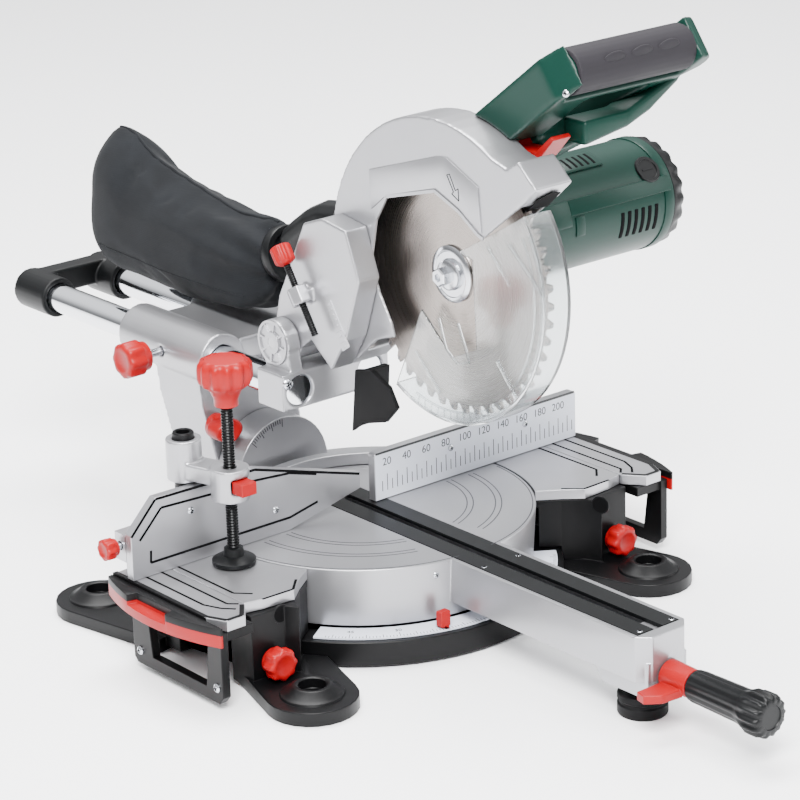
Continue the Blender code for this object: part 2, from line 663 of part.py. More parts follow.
# ---------------------------------------------------------------- tilting arm
def tilt_arm():
    """Tilts on the quadrant for bevel cuts and carries the bores of the two rails."""
    y0, y1 = TILT_DISC_FRONT, TILT_NECK_BACK
    left, right = RAIL_X[0] - 0.015, RAIL_X[1] + 0.015
    r = TILT_DISC_RADIUS
    outline = [(left, RAIL_Z - 0.004), (left + 0.004, 0.060), *arc((0, 0), r, 168, 372, 25),
               (right - 0.002, 0.060), (right, RAIL_Z - 0.004)]
    arm = plate("tilt_arm", outline, y0, y1, "Y")
    tubes = [rod("tilt_arm_tube%d" % i, (x, HOUSING_FRONT, RAIL_Z), (x, HOUSING_REAR, RAIL_Z),
                 HOUSING_RADIUS, 32) for i, x in enumerate(RAIL_X)]
    web = box("tilt_arm_web", (RAIL_X[0], HOUSING_FRONT + 0.006, RAIL_Z - 0.008),
              (RAIL_X[1], HOUSING_REAR - 0.006, RAIL_Z + 0.012))
    join(arm, *tubes, web)
    bores = [rod("tilt_arm_bore%d" % i, (x, 0.10, RAIL_Z), (x, 0.25, RAIL_Z), RAIL_RADIUS + RUN, 32)
             for i, x in enumerate(RAIL_X)]
    hollow = box("tilt_arm_hollow", (left + 0.016, y0 + 0.012, 0.012), (right - 0.016, y1 + 0.01, 0.066))
    bolt = rod("tilt_arm_bolt", (0, 0.10, 0), (0, 0.25, 0), 0.0063, 20)
    lock = rod("tilt_arm_lock", (-0.0475, 0.10, 0.0440), (-0.0475, 0.148, 0.0440), 0.0036, 16)
    rail_lock = rod("tilt_arm_rail_lock", (-0.09, 0.1725, RAIL_Z), (RAIL_X[0], 0.1725, RAIL_Z), 0.0040, 16)
    return cut(arm, *bores, hollow, bolt, lock, rail_lock)


def build_tilt():
    body("tilt_arm", (0, QUADRANT_FRONT, 0), "turntable")
    add("tilt_arm", tilt_arm(), "cast")
    pin = rod("tilt_bolt", (0, 0.1015, 0), (0, TILT_DISC_FRONT + 0.0115, 0), 0.0057, 20)
    add("turntable", pin, "steel")
    body("bevel_knob", (-0.0475, TILT_DISC_FRONT, 0.0440), "tilt_arm")
    add("bevel_knob", lock_knob("bevel_knob", (-0.0475, TILT_DISC_FRONT - 0.004, 0.0440), (0, -1, 0),
                                0.0132, 0.021, 0.0030, 0.018), "red")
    body("rail_knob", (-0.080, 0.1725, RAIL_Z), "tilt_arm")
    reach = 0.080 + RAIL_X[0] - RAIL_RADIUS      # to 2 mm short of the rail
    add("rail_knob", lock_knob("rail_knob", (-0.082, 0.1725, RAIL_Z), (-1, 0, 0),
                               0.0150, 0.022, 0.0034, reach), "red")


# ---------------------------------------------------------------- sliding carriage
BRACKET_LOW, BRACKET_HIGH = 0.086, 0.115
BRACKET_FRONT, BRACKET_BACK = 0.020, 0.052
EAR_LEFT = (-0.052, -0.040)
EAR_RIGHT = (0.026, 0.038)


def front_bracket():
    """Clamped on the rails' front ends: two ears hold the head's hinge pin."""
    bracket = box("front_bracket", (-0.0615, BRACKET_FRONT, BRACKET_LOW), (0.042, BRACKET_BACK,
                                                                           BRACKET_HIGH))
    y, z = PIVOT
    for word, (low, high) in (("left", EAR_LEFT), ("right", EAR_RIGHT)):
        ear = plate("front_bracket_" + word, [*arc(PIVOT, EAR_RADIUS, -20, 200, 19),
                                              (BRACKET_FRONT + 0.001, BRACKET_HIGH - 0.004),
                                              (BRACKET_BACK - 0.001, BRACKET_HIGH - 0.004)], low, high, "X")
        join(bracket, ear)
    for i, x in enumerate(RAIL_X):
        cut(bracket, rod("front_bracket_bore%d" % i, (x, 0.0, RAIL_Z), (x, 0.08, RAIL_Z),
                         RAIL_RADIUS + GAP, 32))
    return cut(bracket, rod("front_bracket_pin", (-0.08, y, z), (0.08, y, z), PIVOT_PIN_RADIUS + GAP, 24))


def rear_yoke():
    """Moulded cross-piece that ties the rails' rear ends."""
    cap_front = RAIL_REAR - 0.038
    yoke = box("rear_yoke", (RAIL_X[0], RAIL_REAR - 0.016, RAIL_Z - 0.004),
               (RAIL_X[1], RAIL_REAR + 0.002, RAIL_Z + 0.0165))
    for i, x in enumerate(RAIL_X):
        join(yoke, rod("rear_yoke_cap%d" % i, (x, cap_front, RAIL_Z), (x, RAIL_REAR + 0.006, RAIL_Z),
                       0.0170, 28))
    for i, x in enumerate(RAIL_X):
        cut(yoke, rod("rear_yoke_bore%d" % i, (x, cap_front - 0.01, RAIL_Z), (x, RAIL_REAR + GAP, RAIL_Z),
                      RAIL_RADIUS + GAP, 32))
    return yoke


def build_carriage():
    body("carriage", (0, BRACKET_BACK, RAIL_Z), "tilt_arm")
    for x, word in zip(RAIL_X, ("left", "right")):
        rail = rod(word + "_rail", (x, RAIL_FRONT, RAIL_Z), (x, RAIL_REAR, RAIL_Z), RAIL_RADIUS, 32)
        add("carriage", rail, "chrome")
    add("carriage", front_bracket(), "cast")
    add("carriage", rear_yoke(), "black")
    y, z = PIVOT
    add("carriage", rod("pivot_pin", (-0.054, y, z), (0.040, y, z), PIVOT_PIN_RADIUS, 24), "steel")


# ---------------------------------------------------------------- head
def blade_point(radius, degrees):
    """A point around the blade's axis: 0 is level with it at the back, 90 straight above."""
    a = math.radians(degrees)
    return (BLADE_CENTRE[0] + radius * math.cos(a), BLADE_CENTRE[1] + radius * math.sin(a))


STOP_TOP = Vector((-0.0485, 0.026, 0.200))
STOP_END = Vector((-0.0485, -0.006, 0.151))


def stop_block():
    """Lug on the casting, tapped for the depth stop."""
    along = (STOP_END - STOP_TOP).normalized()
    middle = STOP_TOP + along * 0.026
    block = rod("stop_block", middle - along * 0.007, middle + along * 0.007, 0.0085, 6)
    side = box("stop_block_lug", (-0.0485, middle.y - 0.006, middle.z - 0.005),
               (-0.0380, middle.y + 0.006, middle.z + 0.005))
    thread = rod("stop_block_thread", STOP_TOP, STOP_END, 0.0038 + RUN, 16)
    return cut(join(block, side), thread)


def head_casting():
    """Hub on the hinge pin, and the web that carries the guard and the gear case."""
    y, z = PIVOT
    hub = rod("head_casting", (EAR_LEFT[1] + RUN, y, z), (EAR_RIGHT[0] - RUN, y, z), HUB_RADIUS, 32)
    left = plate("head_casting_left", [
        (-0.012, 0.1225), (0.004, 0.134), (0.012, 0.141), (0.040, 0.120), (0.057, 0.140), (0.050, 0.168),
        (0.030, 0.205), (0.016, 0.232), (-0.006, 0.240), (-0.034, 0.236), (-0.048, 0.200),
        (-0.030, 0.150)], -0.0390, UPPER_GUARD_LEFT - GAP, "X")
    right = plate("head_casting_right", [
        (0.0078, 0.142), (0.024, 0.142), (0.050, 0.122), (0.058, 0.140), (0.046, 0.168), (0.022, 0.205),
        (0.0115, 0.200), (0.0115, 0.160)], UPPER_GUARD_LEFT - 0.002, 0.0164, "X")
    rear = plate("head_casting_rear", [
        (0.024, 0.142), (0.058, 0.142), (0.046, 0.168), (0.010, 0.238), (-0.040, 0.240), (-0.060, 0.200),
        (-0.060, 0.170)], UPPER_GUARD_RIGHT + GAP, 0.0254, "X")
    join(hub, left, right, rear, stop_block())
    pin = rod("head_casting_pin", (-0.08, y, z), (0.08, y, z), PIVOT_PIN_RADIUS + RUN, 24)
    guard = rod("head_casting_guard", (UPPER_GUARD_LEFT - GAP, *BLADE_CENTRE),
                (UPPER_GUARD_RIGHT + GAP, *BLADE_CENTRE), UPPER_GUARD_RADIUS + GAP, 72)
    arbor = rod("head_casting_arbor", (0, *BLADE_CENTRE), (0.1, *BLADE_CENTRE), 0.060, 48)
    return cut(hub, pin, guard, arbor)


def upper_guard():
    """Cast guard over the blade: a rim with side walls and the spout at its front."""
    outline = [*[blade_point(UPPER_GUARD_RADIUS, a) for a in range(-4, 125, 6)],
               (-0.190, 0.3085), (-0.202, 0.3160), (-0.2209, 0.2990), (-0.2078, 0.2868),
               (-0.165, 0.2533), (-0.150, 0.200), (-0.090, 0.165), (-0.040, 0.148), (-0.011, 0.1225),
               (0.006, 0.142)]
    guard = plate("upper_guard", outline, UPPER_GUARD_LEFT, UPPER_GUARD_RIGHT, "X")
    well = rod("upper_guard_well", (UPPER_GUARD_LEFT + 0.0025, *BLADE_CENTRE),
               (UPPER_GUARD_RIGHT - 0.0025, *BLADE_CENTRE), UPPER_GUARD_INNER, 72)
    mouth = plate("upper_guard_mouth", [(-0.058, 0.190), (-0.150, 0.260), (-0.232, 0.296), (-0.260, 0.15),
                                        (-0.120, 0.08), (-0.050, 0.135)],
                  UPPER_GUARD_LEFT + 0.0025, UPPER_GUARD_RIGHT - 0.0025, "X")
    window = plate("upper_guard_window", [
        (-0.0585, 0.1657), (-0.046, 0.186), (-0.0374, 0.2073), (-0.040, 0.228), (-0.0448, 0.2427),
        (-0.0576, 0.2633), (-0.1127, 0.2780), (-0.1393, 0.2676), (-0.1591, 0.2548), (-0.1652, 0.2533),
        (-0.240, 0.300), (-0.300, 0.12), (-0.09, 0.08)], UPPER_GUARD_LEFT - 0.01, -0.010, "X")
    spindle = rod("upper_guard_spindle", (0, *BLADE_CENTRE), (0.1, *BLADE_CENTRE), 0.034, 32)
    port = rod("upper_guard_port", (0, -0.02, 0.228), (0, 0.03, 0.224), 0.012, 20)
    return cut(guard, well, mouth, window, spindle, port)


def gear_case():
    """Closed behind the guard, open towards the motor: holds the reduction gears."""
    y, z = MOTOR_AXIS
    shell = rod("gear_case", (UPPER_GUARD_RIGHT + GAP, y, z), (MOTOR_START - GAP, y, z), 0.047, 40)
    chin = rod("gear_case_chin", (UPPER_GUARD_RIGHT + 3 * GAP, *BLADE_CENTRE), (0.044, *BLADE_CENTRE),
               0.042, 40)
    join(shell, chin)
    chamber = rod("gear_case_chamber", (0.024, y, z), (0.07, y, z), 0.036, 32)
    gear_room = rod("gear_case_gear", (0.0246, *BLADE_CENTRE), (0.0405, *BLADE_CENTRE), 0.0285, 32)
    boss = rod("gear_case_boss", (0.0, *BLADE_CENTRE), (0.03, *BLADE_CENTRE), 0.0125, 24)
    lock = rod("gear_case_lock", (0.034, y - 0.060, z + 0.012), (0.034, y - 0.030, z + 0.012), 0.0062, 20)
    web = plate("gear_case_web", [(-0.060, 0.200), (-0.060, 0.170), (0.024, 0.130), (0.07, 0.142),
                                  (0.046, 0.168), (0.010, 0.250), (-0.040, 0.250)],
                0.01, 0.0254 + GAP, "X")
    return cut(shell, chamber, gear_room, boss, lock, web)


def motor_housing():
    """Moulded tube around the motor, open to the gear case and to its end cap."""
    y, z = MOTOR_AXIS
    inner = MOTOR_RADIUS - MOTOR_WALL
    profile = [(inner, MOTOR_START), (MOTOR_RADIUS, MOTOR_START), (MOTOR_RADIUS, MOTOR_END), (inner,
                                                                                              MOTOR_END)]
    return turned("motor_housing", profile, (0, y, z), 48, "X")


def motor_cap():
    """Vented cap with the rear bearing's seat and the cooling slots."""
    y, z = MOTOR_AXIS
    start = MOTOR_END + GAP
    profile = [(0.0048, start + 0.004), (0.012, start + 0.004), (0.012, start), (MOTOR_RADIUS, start),
               (MOTOR_RADIUS - 0.002, start + 0.009), (MOTOR_RADIUS - 0.010, MOTOR_CAP_END),
               (0.0048, MOTOR_CAP_END)]
    cap = turned("motor_cap", profile, (0, y, z), 32, "X")
    for i in range(8):
        a = math.radians(45 * i + 22.5)
        middle = (y + 0.024 * math.cos(a), z + 0.024 * math.sin(a))
        cut(cap, rod("motor_cap_vent%d" % i, (start - 0.01, *middle), (MOTOR_CAP_END + 0.01, *middle),
                     0.0045, 12))
    return cap


def slanted(s, n):
    """(y, z) of a point in the handle's own frame: s along the neck, n below it."""
    along = (-math.cos(NECK_SLOPE), math.sin(NECK_SLOPE))
    below = (-math.sin(NECK_SLOPE), -math.cos(NECK_SLOPE))
    return (GRIP_AXIS[0] + s * along[0] + n * below[0], GRIP_AXIS[1] + s * along[1] + n * below[1])


def lean(obj):
    """Stands a shape drawn as (x, s, n up) on the sloping neck."""
    turn = Matrix.Rotation(math.pi - NECK_SLOPE, 4, "X")
    obj.data.transform(Matrix.Translation((0, *GRIP_AXIS)) @ turn)
    return obj


def handle():
    """D-handle moulded round the switch: neck, transverse grip and the return bar."""
    half = GRIP_RADIUS
    loop = [(GRIP_START, -0.150), (GRIP_START, -0.008), (GRIP_START + 0.012, half),
            (GRIP_END - 0.020, half), *arc((GRIP_END - 0.014, 0.0), 0.014, 60, -60, 7),
            (0.104, -0.056), (0.072, -0.096), (0.0605, -0.150)]
    hole = [(0.046, -0.020), (0.108, -0.020), (0.086, -0.048), (0.060, -0.078), (0.046, -0.078)]
    grip = plate("handle", loop, -half, half, "Z", [hole])
    low_bar = plate("handle_low_bar", [(0.044, -0.142), (0.044, -0.0795), (0.0607, -0.0795),
                                       (0.0872, -0.0490), (0.1010, -0.0556), (0.0705, -0.0965),
                                       (0.0570, -0.142)], 0.002, half + 0.012)
    pocket = box("handle_pocket", (0.0645, -0.026, -0.0065), (0.0955, -0.006, 0.0065))
    slit = box("handle_slit", (0.0215, -0.096, 0.012), (0.0405, -0.076, 0.0200))
    sleeve = rod("handle_sleeve", (0.0185, 0, 0), (0.1305, 0, 0), half + 0.01, 24)
    waist = rod("handle_waist", (0.0165, 0, 0), (0.1325, 0, 0), 0.0125, 24)
    keep = box("handle_keep", (0.0185, -0.028, -0.03), (0.1305, -0.0128, 0.03))
    for part in (grip, low_bar, pocket, slit, sleeve, waist, keep):
        lean(part)
    cut(sleeve, waist, keep)
    join(grip, low_bar)
    rim = rod("handle_rim", (-0.05, *BLADE_CENTRE), (UPPER_GUARD_RIGHT + GAP, *BLADE_CENTRE),
              UPPER_GUARD_RADIUS + GAP, 72)
    case = rod("handle_case", (0, *MOTOR_AXIS), (0.1, *MOTOR_AXIS), 0.047 + GAP, 40)
    return cut(grip, sleeve, pocket, slit, rim, case)


def handle_grip():
    """Rubber sleeve over the grip, open along the switch side."""
    half = GRIP_RADIUS
    sleeve = rod("handle_grip", (0.0190, 0, 0), (0.1300, 0, 0), half + 0.0005, 24)
    waist = rod("handle_grip_waist", (0.0, 0, 0), (0.15, 0, 0), 0.0128, 24)
    keep = box("handle_grip_keep", (0.0, -0.040, -0.03), (0.15, -0.0125, 0.03))
    for part in (sleeve, waist, keep):
        lean(part)
    return cut(sleeve, waist, keep)


def chip_flap():
    """Rubber deflector behind the blade."""
    outline = [(-0.0115, 0.1175), (-0.0055, 0.0665), (-0.017, 0.0755), (-0.046, 0.0840), (-0.060, 0.0985),
               (-0.051, 0.1130), (-0.030, 0.1220)]
    flap = plate("chip_flap", outline, -0.0165, -0.0125, "X")
    wing = plate("chip_flap_wing", [(-0.0125, 0.1165), (-0.0065, 0.0690), (-0.0150, 0.0745),
                                    (-0.0190, 0.1170)], -0.0130, 0.012, "X")
    return join(flap, wing)


def dust_elbow():
    """Duct from the guard to the bag's collar."""
    curve = bpy.data.curves.new("dust_elbow", "CURVE")
    curve.dimensions = "3D"
    curve.bevel_depth = 0.0163
    curve.bevel_resolution = 4
    curve.use_fill_caps = True
    route = [(0, 0.0100, 0.226), (0, 0.030, 0.223), (0, 0.047, 0.215), (0, 0.062, 0.2045), (0, 0.074,
                                                                                            0.195)]
    spline = curve.splines.new("POLY")
    spline.points.add(len(route) - 1)
    for point, place in zip(spline.points, route):
        point.co = (*place, 1)
    drawn = bpy.data.objects.new("dust_elbow_line", curve)
    SAW.objects.link(drawn)
    graph = bpy.context.evaluated_depsgraph_get()
    mesh = bpy.data.meshes.new_from_object(drawn.evaluated_get(graph))
    bpy.data.objects.remove(drawn)
    shape = bmesh.new()
    shape.from_mesh(mesh)
    bmesh.ops.remove_doubles(shape, verts=shape.verts, dist=0.00001)
    bmesh.ops.recalc_face_normals(shape, faces=shape.faces)
    elbow = as_object("dust_elbow", shape)
    guard = rod("dust_elbow_guard", (-0.05, *BLADE_CENTRE), (0.05, *BLADE_CENTRE),
                UPPER_GUARD_RADIUS + GAP, 72)
    return cut(elbow, guard)


def dust_bag():
    """The cloth bag's full shape: the cloth itself hangs inside it."""
    outline = [(0.092, 0.214), (0.240, 0.253), (0.264, 0.250), (0.326, 0.160), (0.320, 0.148),
               (0.136, 0.127), (0.098, 0.152)]
    return soften(plate("dust_bag", outline, -0.034, 0.034, "X"), 0.012, 2)


def depth_stop():
    """Knurled red head on a threaded rod: it meets the bracket at the set depth."""
    along = (STOP_END - STOP_TOP).normalized()
    stop = rod("depth_stop", STOP_TOP, STOP_END, 0.0038, 16)
    knob = rod("depth_stop_knob", STOP_TOP - along * 0.014, STOP_TOP + along * 0.007, 0.0085, 16)
    return join(stop, knob)


def lock_lever():
    """Red release lever on the underside of the neck."""
    outline = [slanted(s, n) for s, n in (
        (-0.0900, 0.0130), (-0.0960, 0.0190), (-0.0960, 0.0250), (-0.0660, 0.0360), (-0.0440, 0.0320),
        (-0.0450, 0.0285), (-0.0660, 0.0300), (-0.0840, 0.0175), (-0.0840, 0.0130))]
    return plate("lock_lever", outline, 0.0222, 0.0398, "X")


def trigger():
    key = box("trigger", (0.0655, -0.029, -0.0055), (0.0945, -0.0170, 0.0055))
    return lean(key)


def build_head():
    y, z = PIVOT
    body("head", (0, y, z), "carriage")
    add("head", head_casting(), "cast")
    add("head", upper_guard(), "cast")
    add("head", gear_case(), "green")
    add("head", motor_housing(), "green")
    add("head", motor_cap(), "grip")
    add("head", handle(), "green")
    add("head", handle_grip(), "grip")
    add("head", chip_flap(), "black")
    add("head", dust_elbow(), "black")
    add("head", dust_bag(), "cloth")
    body("depth_stop", STOP_TOP, "head")
    add("depth_stop", depth_stop(), "red")
    body("lock_lever", (0.031, *slanted(-0.0895, 0.0185)), "head")
    add("lock_lever", lock_lever(), "red")
    body("trigger", (0.080, *slanted(-0.02, 0)), "head")
    add("trigger", trigger(), "black")
    body("spindle_lock", (0.034, MOTOR_AXIS[0] - 0.046, MOTOR_AXIS[1] + 0.012), "head")
    add("spindle_lock", rod("spindle_lock", (0.034, MOTOR_AXIS[0] - 0.0555, MOTOR_AXIS[1] + 0.012),
                            (0.034, MOTOR_AXIS[0] - 0.0400, MOTOR_AXIS[1] + 0.012), 0.0056, 20), "black")


# ---------------------------------------------------------------- blade, gears and lower guard
def blade():
    """Toothed disc: each tooth leans forwards, with a gullet behind it."""
    outline = []
    for tooth in range(BLADE_TEETH):
        start = 360 * tooth / BLADE_TEETH
        step = 360 / BLADE_TEETH
        for part, depth in ((0.0, 0.0), (0.35, 0.0015), (0.55, 0.0062), (0.92, 0.0068)):
            outline.append(blade_point(BLADE_RADIUS - depth, start + step * part))
    bore = [blade_point(0.0083, a) for a in range(0, 360, 15)]
    return plate("blade", outline, -BLADE_THICKNESS / 2, BLADE_THICKNESS / 2, "X", [bore])


def blade_flange():
    """Outer clamping flange and its bolt, on the left of the blade."""
    half = BLADE_THICKNESS / 2
    profile = [(0, -0.0165), (0.0062, -0.0165), (0.0062, -0.0100), (0.0120, -0.0100), (0.0215, -0.0045),
               (0.0215, -half - GAP), (0, -half - GAP)]
    return turned("blade_flange", profile, (0, *BLADE_CENTRE), 36, "X")


def spindle():
    """Arbor through the blade, with the inner flange and the big gear."""
    half = BLADE_THICKNESS / 2
    gear = gear_radius(GEAR_TEETH)
    profile = [(0, -half + 0.0002), (0.0080, -half + 0.0002), (0.0080, half + GAP), (0.0205, half + GAP),
               (0.0205, 0.0060), (0.0115, 0.0060), (0.0115, 0.0270), (gear, 0.0270), (gear, 0.0370),
               (0.0, 0.0370)]
    return turned("spindle", profile, (0, *BLADE_CENTRE), 36, "X")


def gear_radius(teeth):
    """Pitch radius for the real centre distance, less a hair of running clearance."""
    spread = math.dist(MOTOR_AXIS, BLADE_CENTRE)
    return spread * teeth / (GEAR_TEETH + PINION_TEETH) - 0.0002


def motor_rotor():
    """Pinion, armature and shaft, seated in the end cap."""
    pinion = gear_radius(PINION_TEETH)
    profile = [(0, 0.0262), (pinion, 0.0262), (pinion, 0.0400), (0.0045, 0.0400), (0.0045, 0.0840),
               (0.0240, 0.0840), (0.0240, 0.1500), (0.0150, 0.1560), (0.0150, 0.1780), (0.0042, 0.1780),
               (0.0042, MOTOR_CAP_END - 0.004), (0, MOTOR_CAP_END - 0.004)]
    return turned("motor_rotor", profile, (0, *MOTOR_AXIS), 28, "X")


def lower_guard():
    """Clear guard: two side walls and a rim, on a ring around the spindle."""
    first, last = 145, 300
    inner = LOWER_GUARD_RADIUS - LOWER_GUARD_WALL
    wall = 0.002
    half = LOWER_GUARD_HALF
    sector = [blade_point(LOWER_GUARD_RADIUS, a) for a in range(first, last + 1, 5)]
    shell = plate("lower_guard", [*sector, blade_point(0.020, 320), blade_point(0.020, 120)],
                  -half, half, "X")
    well = rod("lower_guard_well", (-half + wall, *BLADE_CENTRE), (half - wall, *BLADE_CENTRE), inner, 72)
    slot = plate("lower_guard_slot", [blade_point(0.040, 150), blade_point(0.060, 232),
                                      blade_point(0.060, 262),
                                      blade_point(0.040, 330), blade_point(0.035, 60)],
                 -0.03, 0, "X")
    ring = rod("lower_guard_ring", (half - wall - GAP, *BLADE_CENTRE), (half + GAP, *BLADE_CENTRE),
               0.032, 36)
    hole = rod("lower_guard_hole", (0, *BLADE_CENTRE), (0.03, *BLADE_CENTRE), 0.0225, 32)
    cut(shell, well, slot)
    join(shell, ring)
    return cut(shell, hole)


def build_cutting():
    body("blade", (0, *BLADE_CENTRE), "head")
    add("blade", blade(), "steel")
    add("blade", blade_flange(), "steel")
    add("blade", spindle(), "steel")
    body("motor_rotor", (0.1, *MOTOR_AXIS), "head")
    add("motor_rotor", motor_rotor(), "steel")
    body("lower_guard", (0, *BLADE_CENTRE), "head")
    add("lower_guard", lower_guard(), "clear")


# ---------------------------------------------------------------- put together
build_base()
build_extensions()
build_left_fence()
build_clamp()
build_turntable()
build_tilt()
build_carriage()
build_head()
build_cutting()


def stand_on_floor():
    """Centres the saw's footprint on the origin, with its lowest point on the floor."""
    bpy.context.view_layer.update()
    graph = bpy.context.evaluated_depsgraph_get()
    low, high = Vector((1e9,) * 3), Vector((-1e9,) * 3)
    for obj in SAW.objects:
        if obj.type == "MESH":
            for vertex in obj.evaluated_get(graph).data.vertices:
                place = obj.matrix_world @ vertex.co
                low = Vector(map(min, low, place))
                high = Vector(map(max, high, place))
    BODIES["base"][0].location = (-(low.x + high.x) / 2, -(low.y + high.y) / 2, -low.z)


stand_on_floor()
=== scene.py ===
import json
import math

import bmesh
import bpy
from mathutils import Matrix, Vector
from mathutils.bvhtree import BVHTree

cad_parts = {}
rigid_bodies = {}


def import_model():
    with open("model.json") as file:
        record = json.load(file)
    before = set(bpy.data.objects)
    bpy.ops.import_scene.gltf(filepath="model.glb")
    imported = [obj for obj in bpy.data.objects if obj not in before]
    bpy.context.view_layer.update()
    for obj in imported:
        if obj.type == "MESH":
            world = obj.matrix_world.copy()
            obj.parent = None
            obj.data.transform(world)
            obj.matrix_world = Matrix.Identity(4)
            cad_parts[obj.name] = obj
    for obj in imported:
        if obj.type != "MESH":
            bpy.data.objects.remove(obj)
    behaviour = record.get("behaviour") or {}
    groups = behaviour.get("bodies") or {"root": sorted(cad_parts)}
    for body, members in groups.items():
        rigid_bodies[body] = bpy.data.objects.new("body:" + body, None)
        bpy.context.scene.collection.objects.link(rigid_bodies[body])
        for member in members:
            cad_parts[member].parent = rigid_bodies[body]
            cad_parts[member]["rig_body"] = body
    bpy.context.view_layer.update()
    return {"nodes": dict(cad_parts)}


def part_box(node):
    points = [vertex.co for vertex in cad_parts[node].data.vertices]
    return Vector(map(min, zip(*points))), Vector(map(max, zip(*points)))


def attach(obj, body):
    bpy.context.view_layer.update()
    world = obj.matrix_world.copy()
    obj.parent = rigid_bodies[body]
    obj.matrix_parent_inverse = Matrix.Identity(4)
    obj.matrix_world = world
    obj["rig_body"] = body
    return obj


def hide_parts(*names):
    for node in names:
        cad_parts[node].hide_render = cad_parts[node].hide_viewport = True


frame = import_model()
nodes = frame["nodes"]

# ------------------------------------------------------------------ studio
# A pale seamless floor, a large soft light over the left shoulder, a weaker one from the
# right and one overhead, and a long lens at the user's front left.
table_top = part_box("left_table")[1].z
fence_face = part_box("right_fence")[0].y


def at(x, y, z):
    """A point in millimetres from the kerf, the fence's face and the table top."""
    return Vector((x / 1000, fence_face + y / 1000, table_top + z / 1000))


def linear(colour):
    """An sRGB hex colour as the linear values a shader takes."""
    parts = [int(colour[i:i + 2], 16) / 255 for i in (1, 3, 5)]
    return (*[c / 12.92 if c < 0.04045 else ((c + 0.055) / 1.055) ** 2.4 for c in parts], 1)


def node(tree, kind, settings=None, **inputs):
    """Adds a node; an input is a value, or a (node, output name) pair to link from."""
    made = tree.nodes.new("ShaderNode" + kind)
    for key, value in (settings or {}).items():
        setattr(made, key, value)
    for key, value in inputs.items():
        key = int(key[1:]) if key[0] == "_" else key.replace("_", " ")
        if isinstance(value, tuple) and len(value) == 2 and isinstance(value[1], str):
            tree.links.new(value[0].outputs[value[1]], made.inputs[key])
        else:
            made.inputs[key].default_value = value
    return made


def new_material(name, colour, roughness, metallic=0.0, **more):
    """A Principled material: returns it, its tree and its shader."""
    material = bpy.data.materials.new(name)
    material.use_nodes = True
    shader = material.node_tree.nodes["Principled BSDF"]
    shader.inputs["Base Color"].default_value = linear(colour)
    shader.inputs["Roughness"].default_value = roughness
    shader.inputs["Metallic"].default_value = metallic
    for key, value in more.items():
        shader.inputs[key.replace("_", " ")].default_value = value
    return material, material.node_tree, shader


def standing(name, shape, material=None, smooth=40):
    """An object from a bmesh, at the origin, smooth except across sharp corners."""
    mesh = bpy.data.meshes.new(name)
    shape.to_mesh(mesh)
    shape.free()
    mesh.shade_smooth()
    mesh.set_sharp_from_angle(angle=math.radians(smooth))
    piece = bpy.data.objects.new(name, mesh)
    bpy.context.scene.collection.objects.link(piece)
    if material is not None:
        mesh.materials.append(material)
    return piece


paper, tree, shader = new_material("matt_paper", "#FBFBFC", 0.95)
place = node(tree, "TexCoord")
tooth = node(tree, "TexNoise", Vector=(place, "Object"), Scale=220.0)
press = node(tree, "Bump", Height=(tooth, "Fac"), Strength=0.1, Distance=0.0002)
tree.links.new(press.outputs["Normal"], shader.inputs["Normal"])
floor_shape = bmesh.new()
bmesh.ops.create_grid(floor_shape, x_segments=1, y_segments=1, size=6)
floor = standing("floor", floor_shape, paper)

# The walls round the tent are greyer than its top, which gives bright metal its dark stripes.
world = bpy.data.worlds.new("studio")
bpy.context.scene.world = world
world.use_nodes = True
tent = world.node_tree
lamp_side = node(tent, "TexCoord")
heights = node(tent, "SeparateXYZ", Vector=(lamp_side, "Generated"))
glow = node(tent, "MapRange", {"interpolation_type": "SMOOTHSTEP"}, Value=(heights, "Z"),
            From_Min=0.05, From_Max=0.6, To_Min=0.3, To_Max=1.6)
tent.links.new(glow.outputs["Result"], tent.nodes["Background"].inputs["Strength"])
tent.nodes["Background"].inputs["Color"].default_value = linear("#FAFBFD")


def soft_light(name, place, aim, size, power):
    """A rectangular lamp in metres that faces a point, its power in watts."""
    light = bpy.data.lights.new(name, "AREA")
    light.shape = "RECTANGLE"
    light.size, light.size_y = size
    light.energy = power
    lamp = bpy.data.objects.new(name, light)
    lamp.location = place
    lamp.rotation_euler = (Vector(aim) - Vector(place)).to_track_quat("-Z", "Y").to_euler()
    bpy.context.scene.collection.objects.link(lamp)


soft_light("key", (-1.3, -1.5, 2.2), (0, 0, 0.2), (1.2, 1.2), 250)
soft_light("overhead", (0.3, 0.6, 2.5), (0, 0, 0.1), (1.8, 1.2), 150)
soft_light("fill", (1.9, -1.3, 1.1), (0, 0, 0.2), (0.8, 1.4), 22)

camera_turn, camera_rise, camera_roll = (math.radians(a) for a in (-39.198, 19.530, -1.742))
back = Vector((math.sin(camera_turn) * math.cos(camera_rise),
               -math.cos(camera_turn) * math.cos(camera_rise), math.sin(camera_rise)))
right = (-back).cross(Vector((0, 0, 1))).normalized()
up = right.cross(-back)
rolled_right = math.cos(camera_roll) * right + math.sin(camera_roll) * up
rolled_up = -math.sin(camera_roll) * right + math.cos(camera_roll) * up
lens = bpy.data.cameras.new("camera")
lens.lens = 136.2  # mm, on a sensor 36 mm wide
lens.sensor_width = 36
camera = bpy.data.objects.new("camera", lens)
camera.matrix_world = Matrix.Translation(at(-1358.84, -1710.53, 860.19)) @ Matrix(
    (rolled_right, rolled_up, back)).transposed().to_4x4()
bpy.context.scene.collection.objects.link(camera)
bpy.context.scene.camera = camera

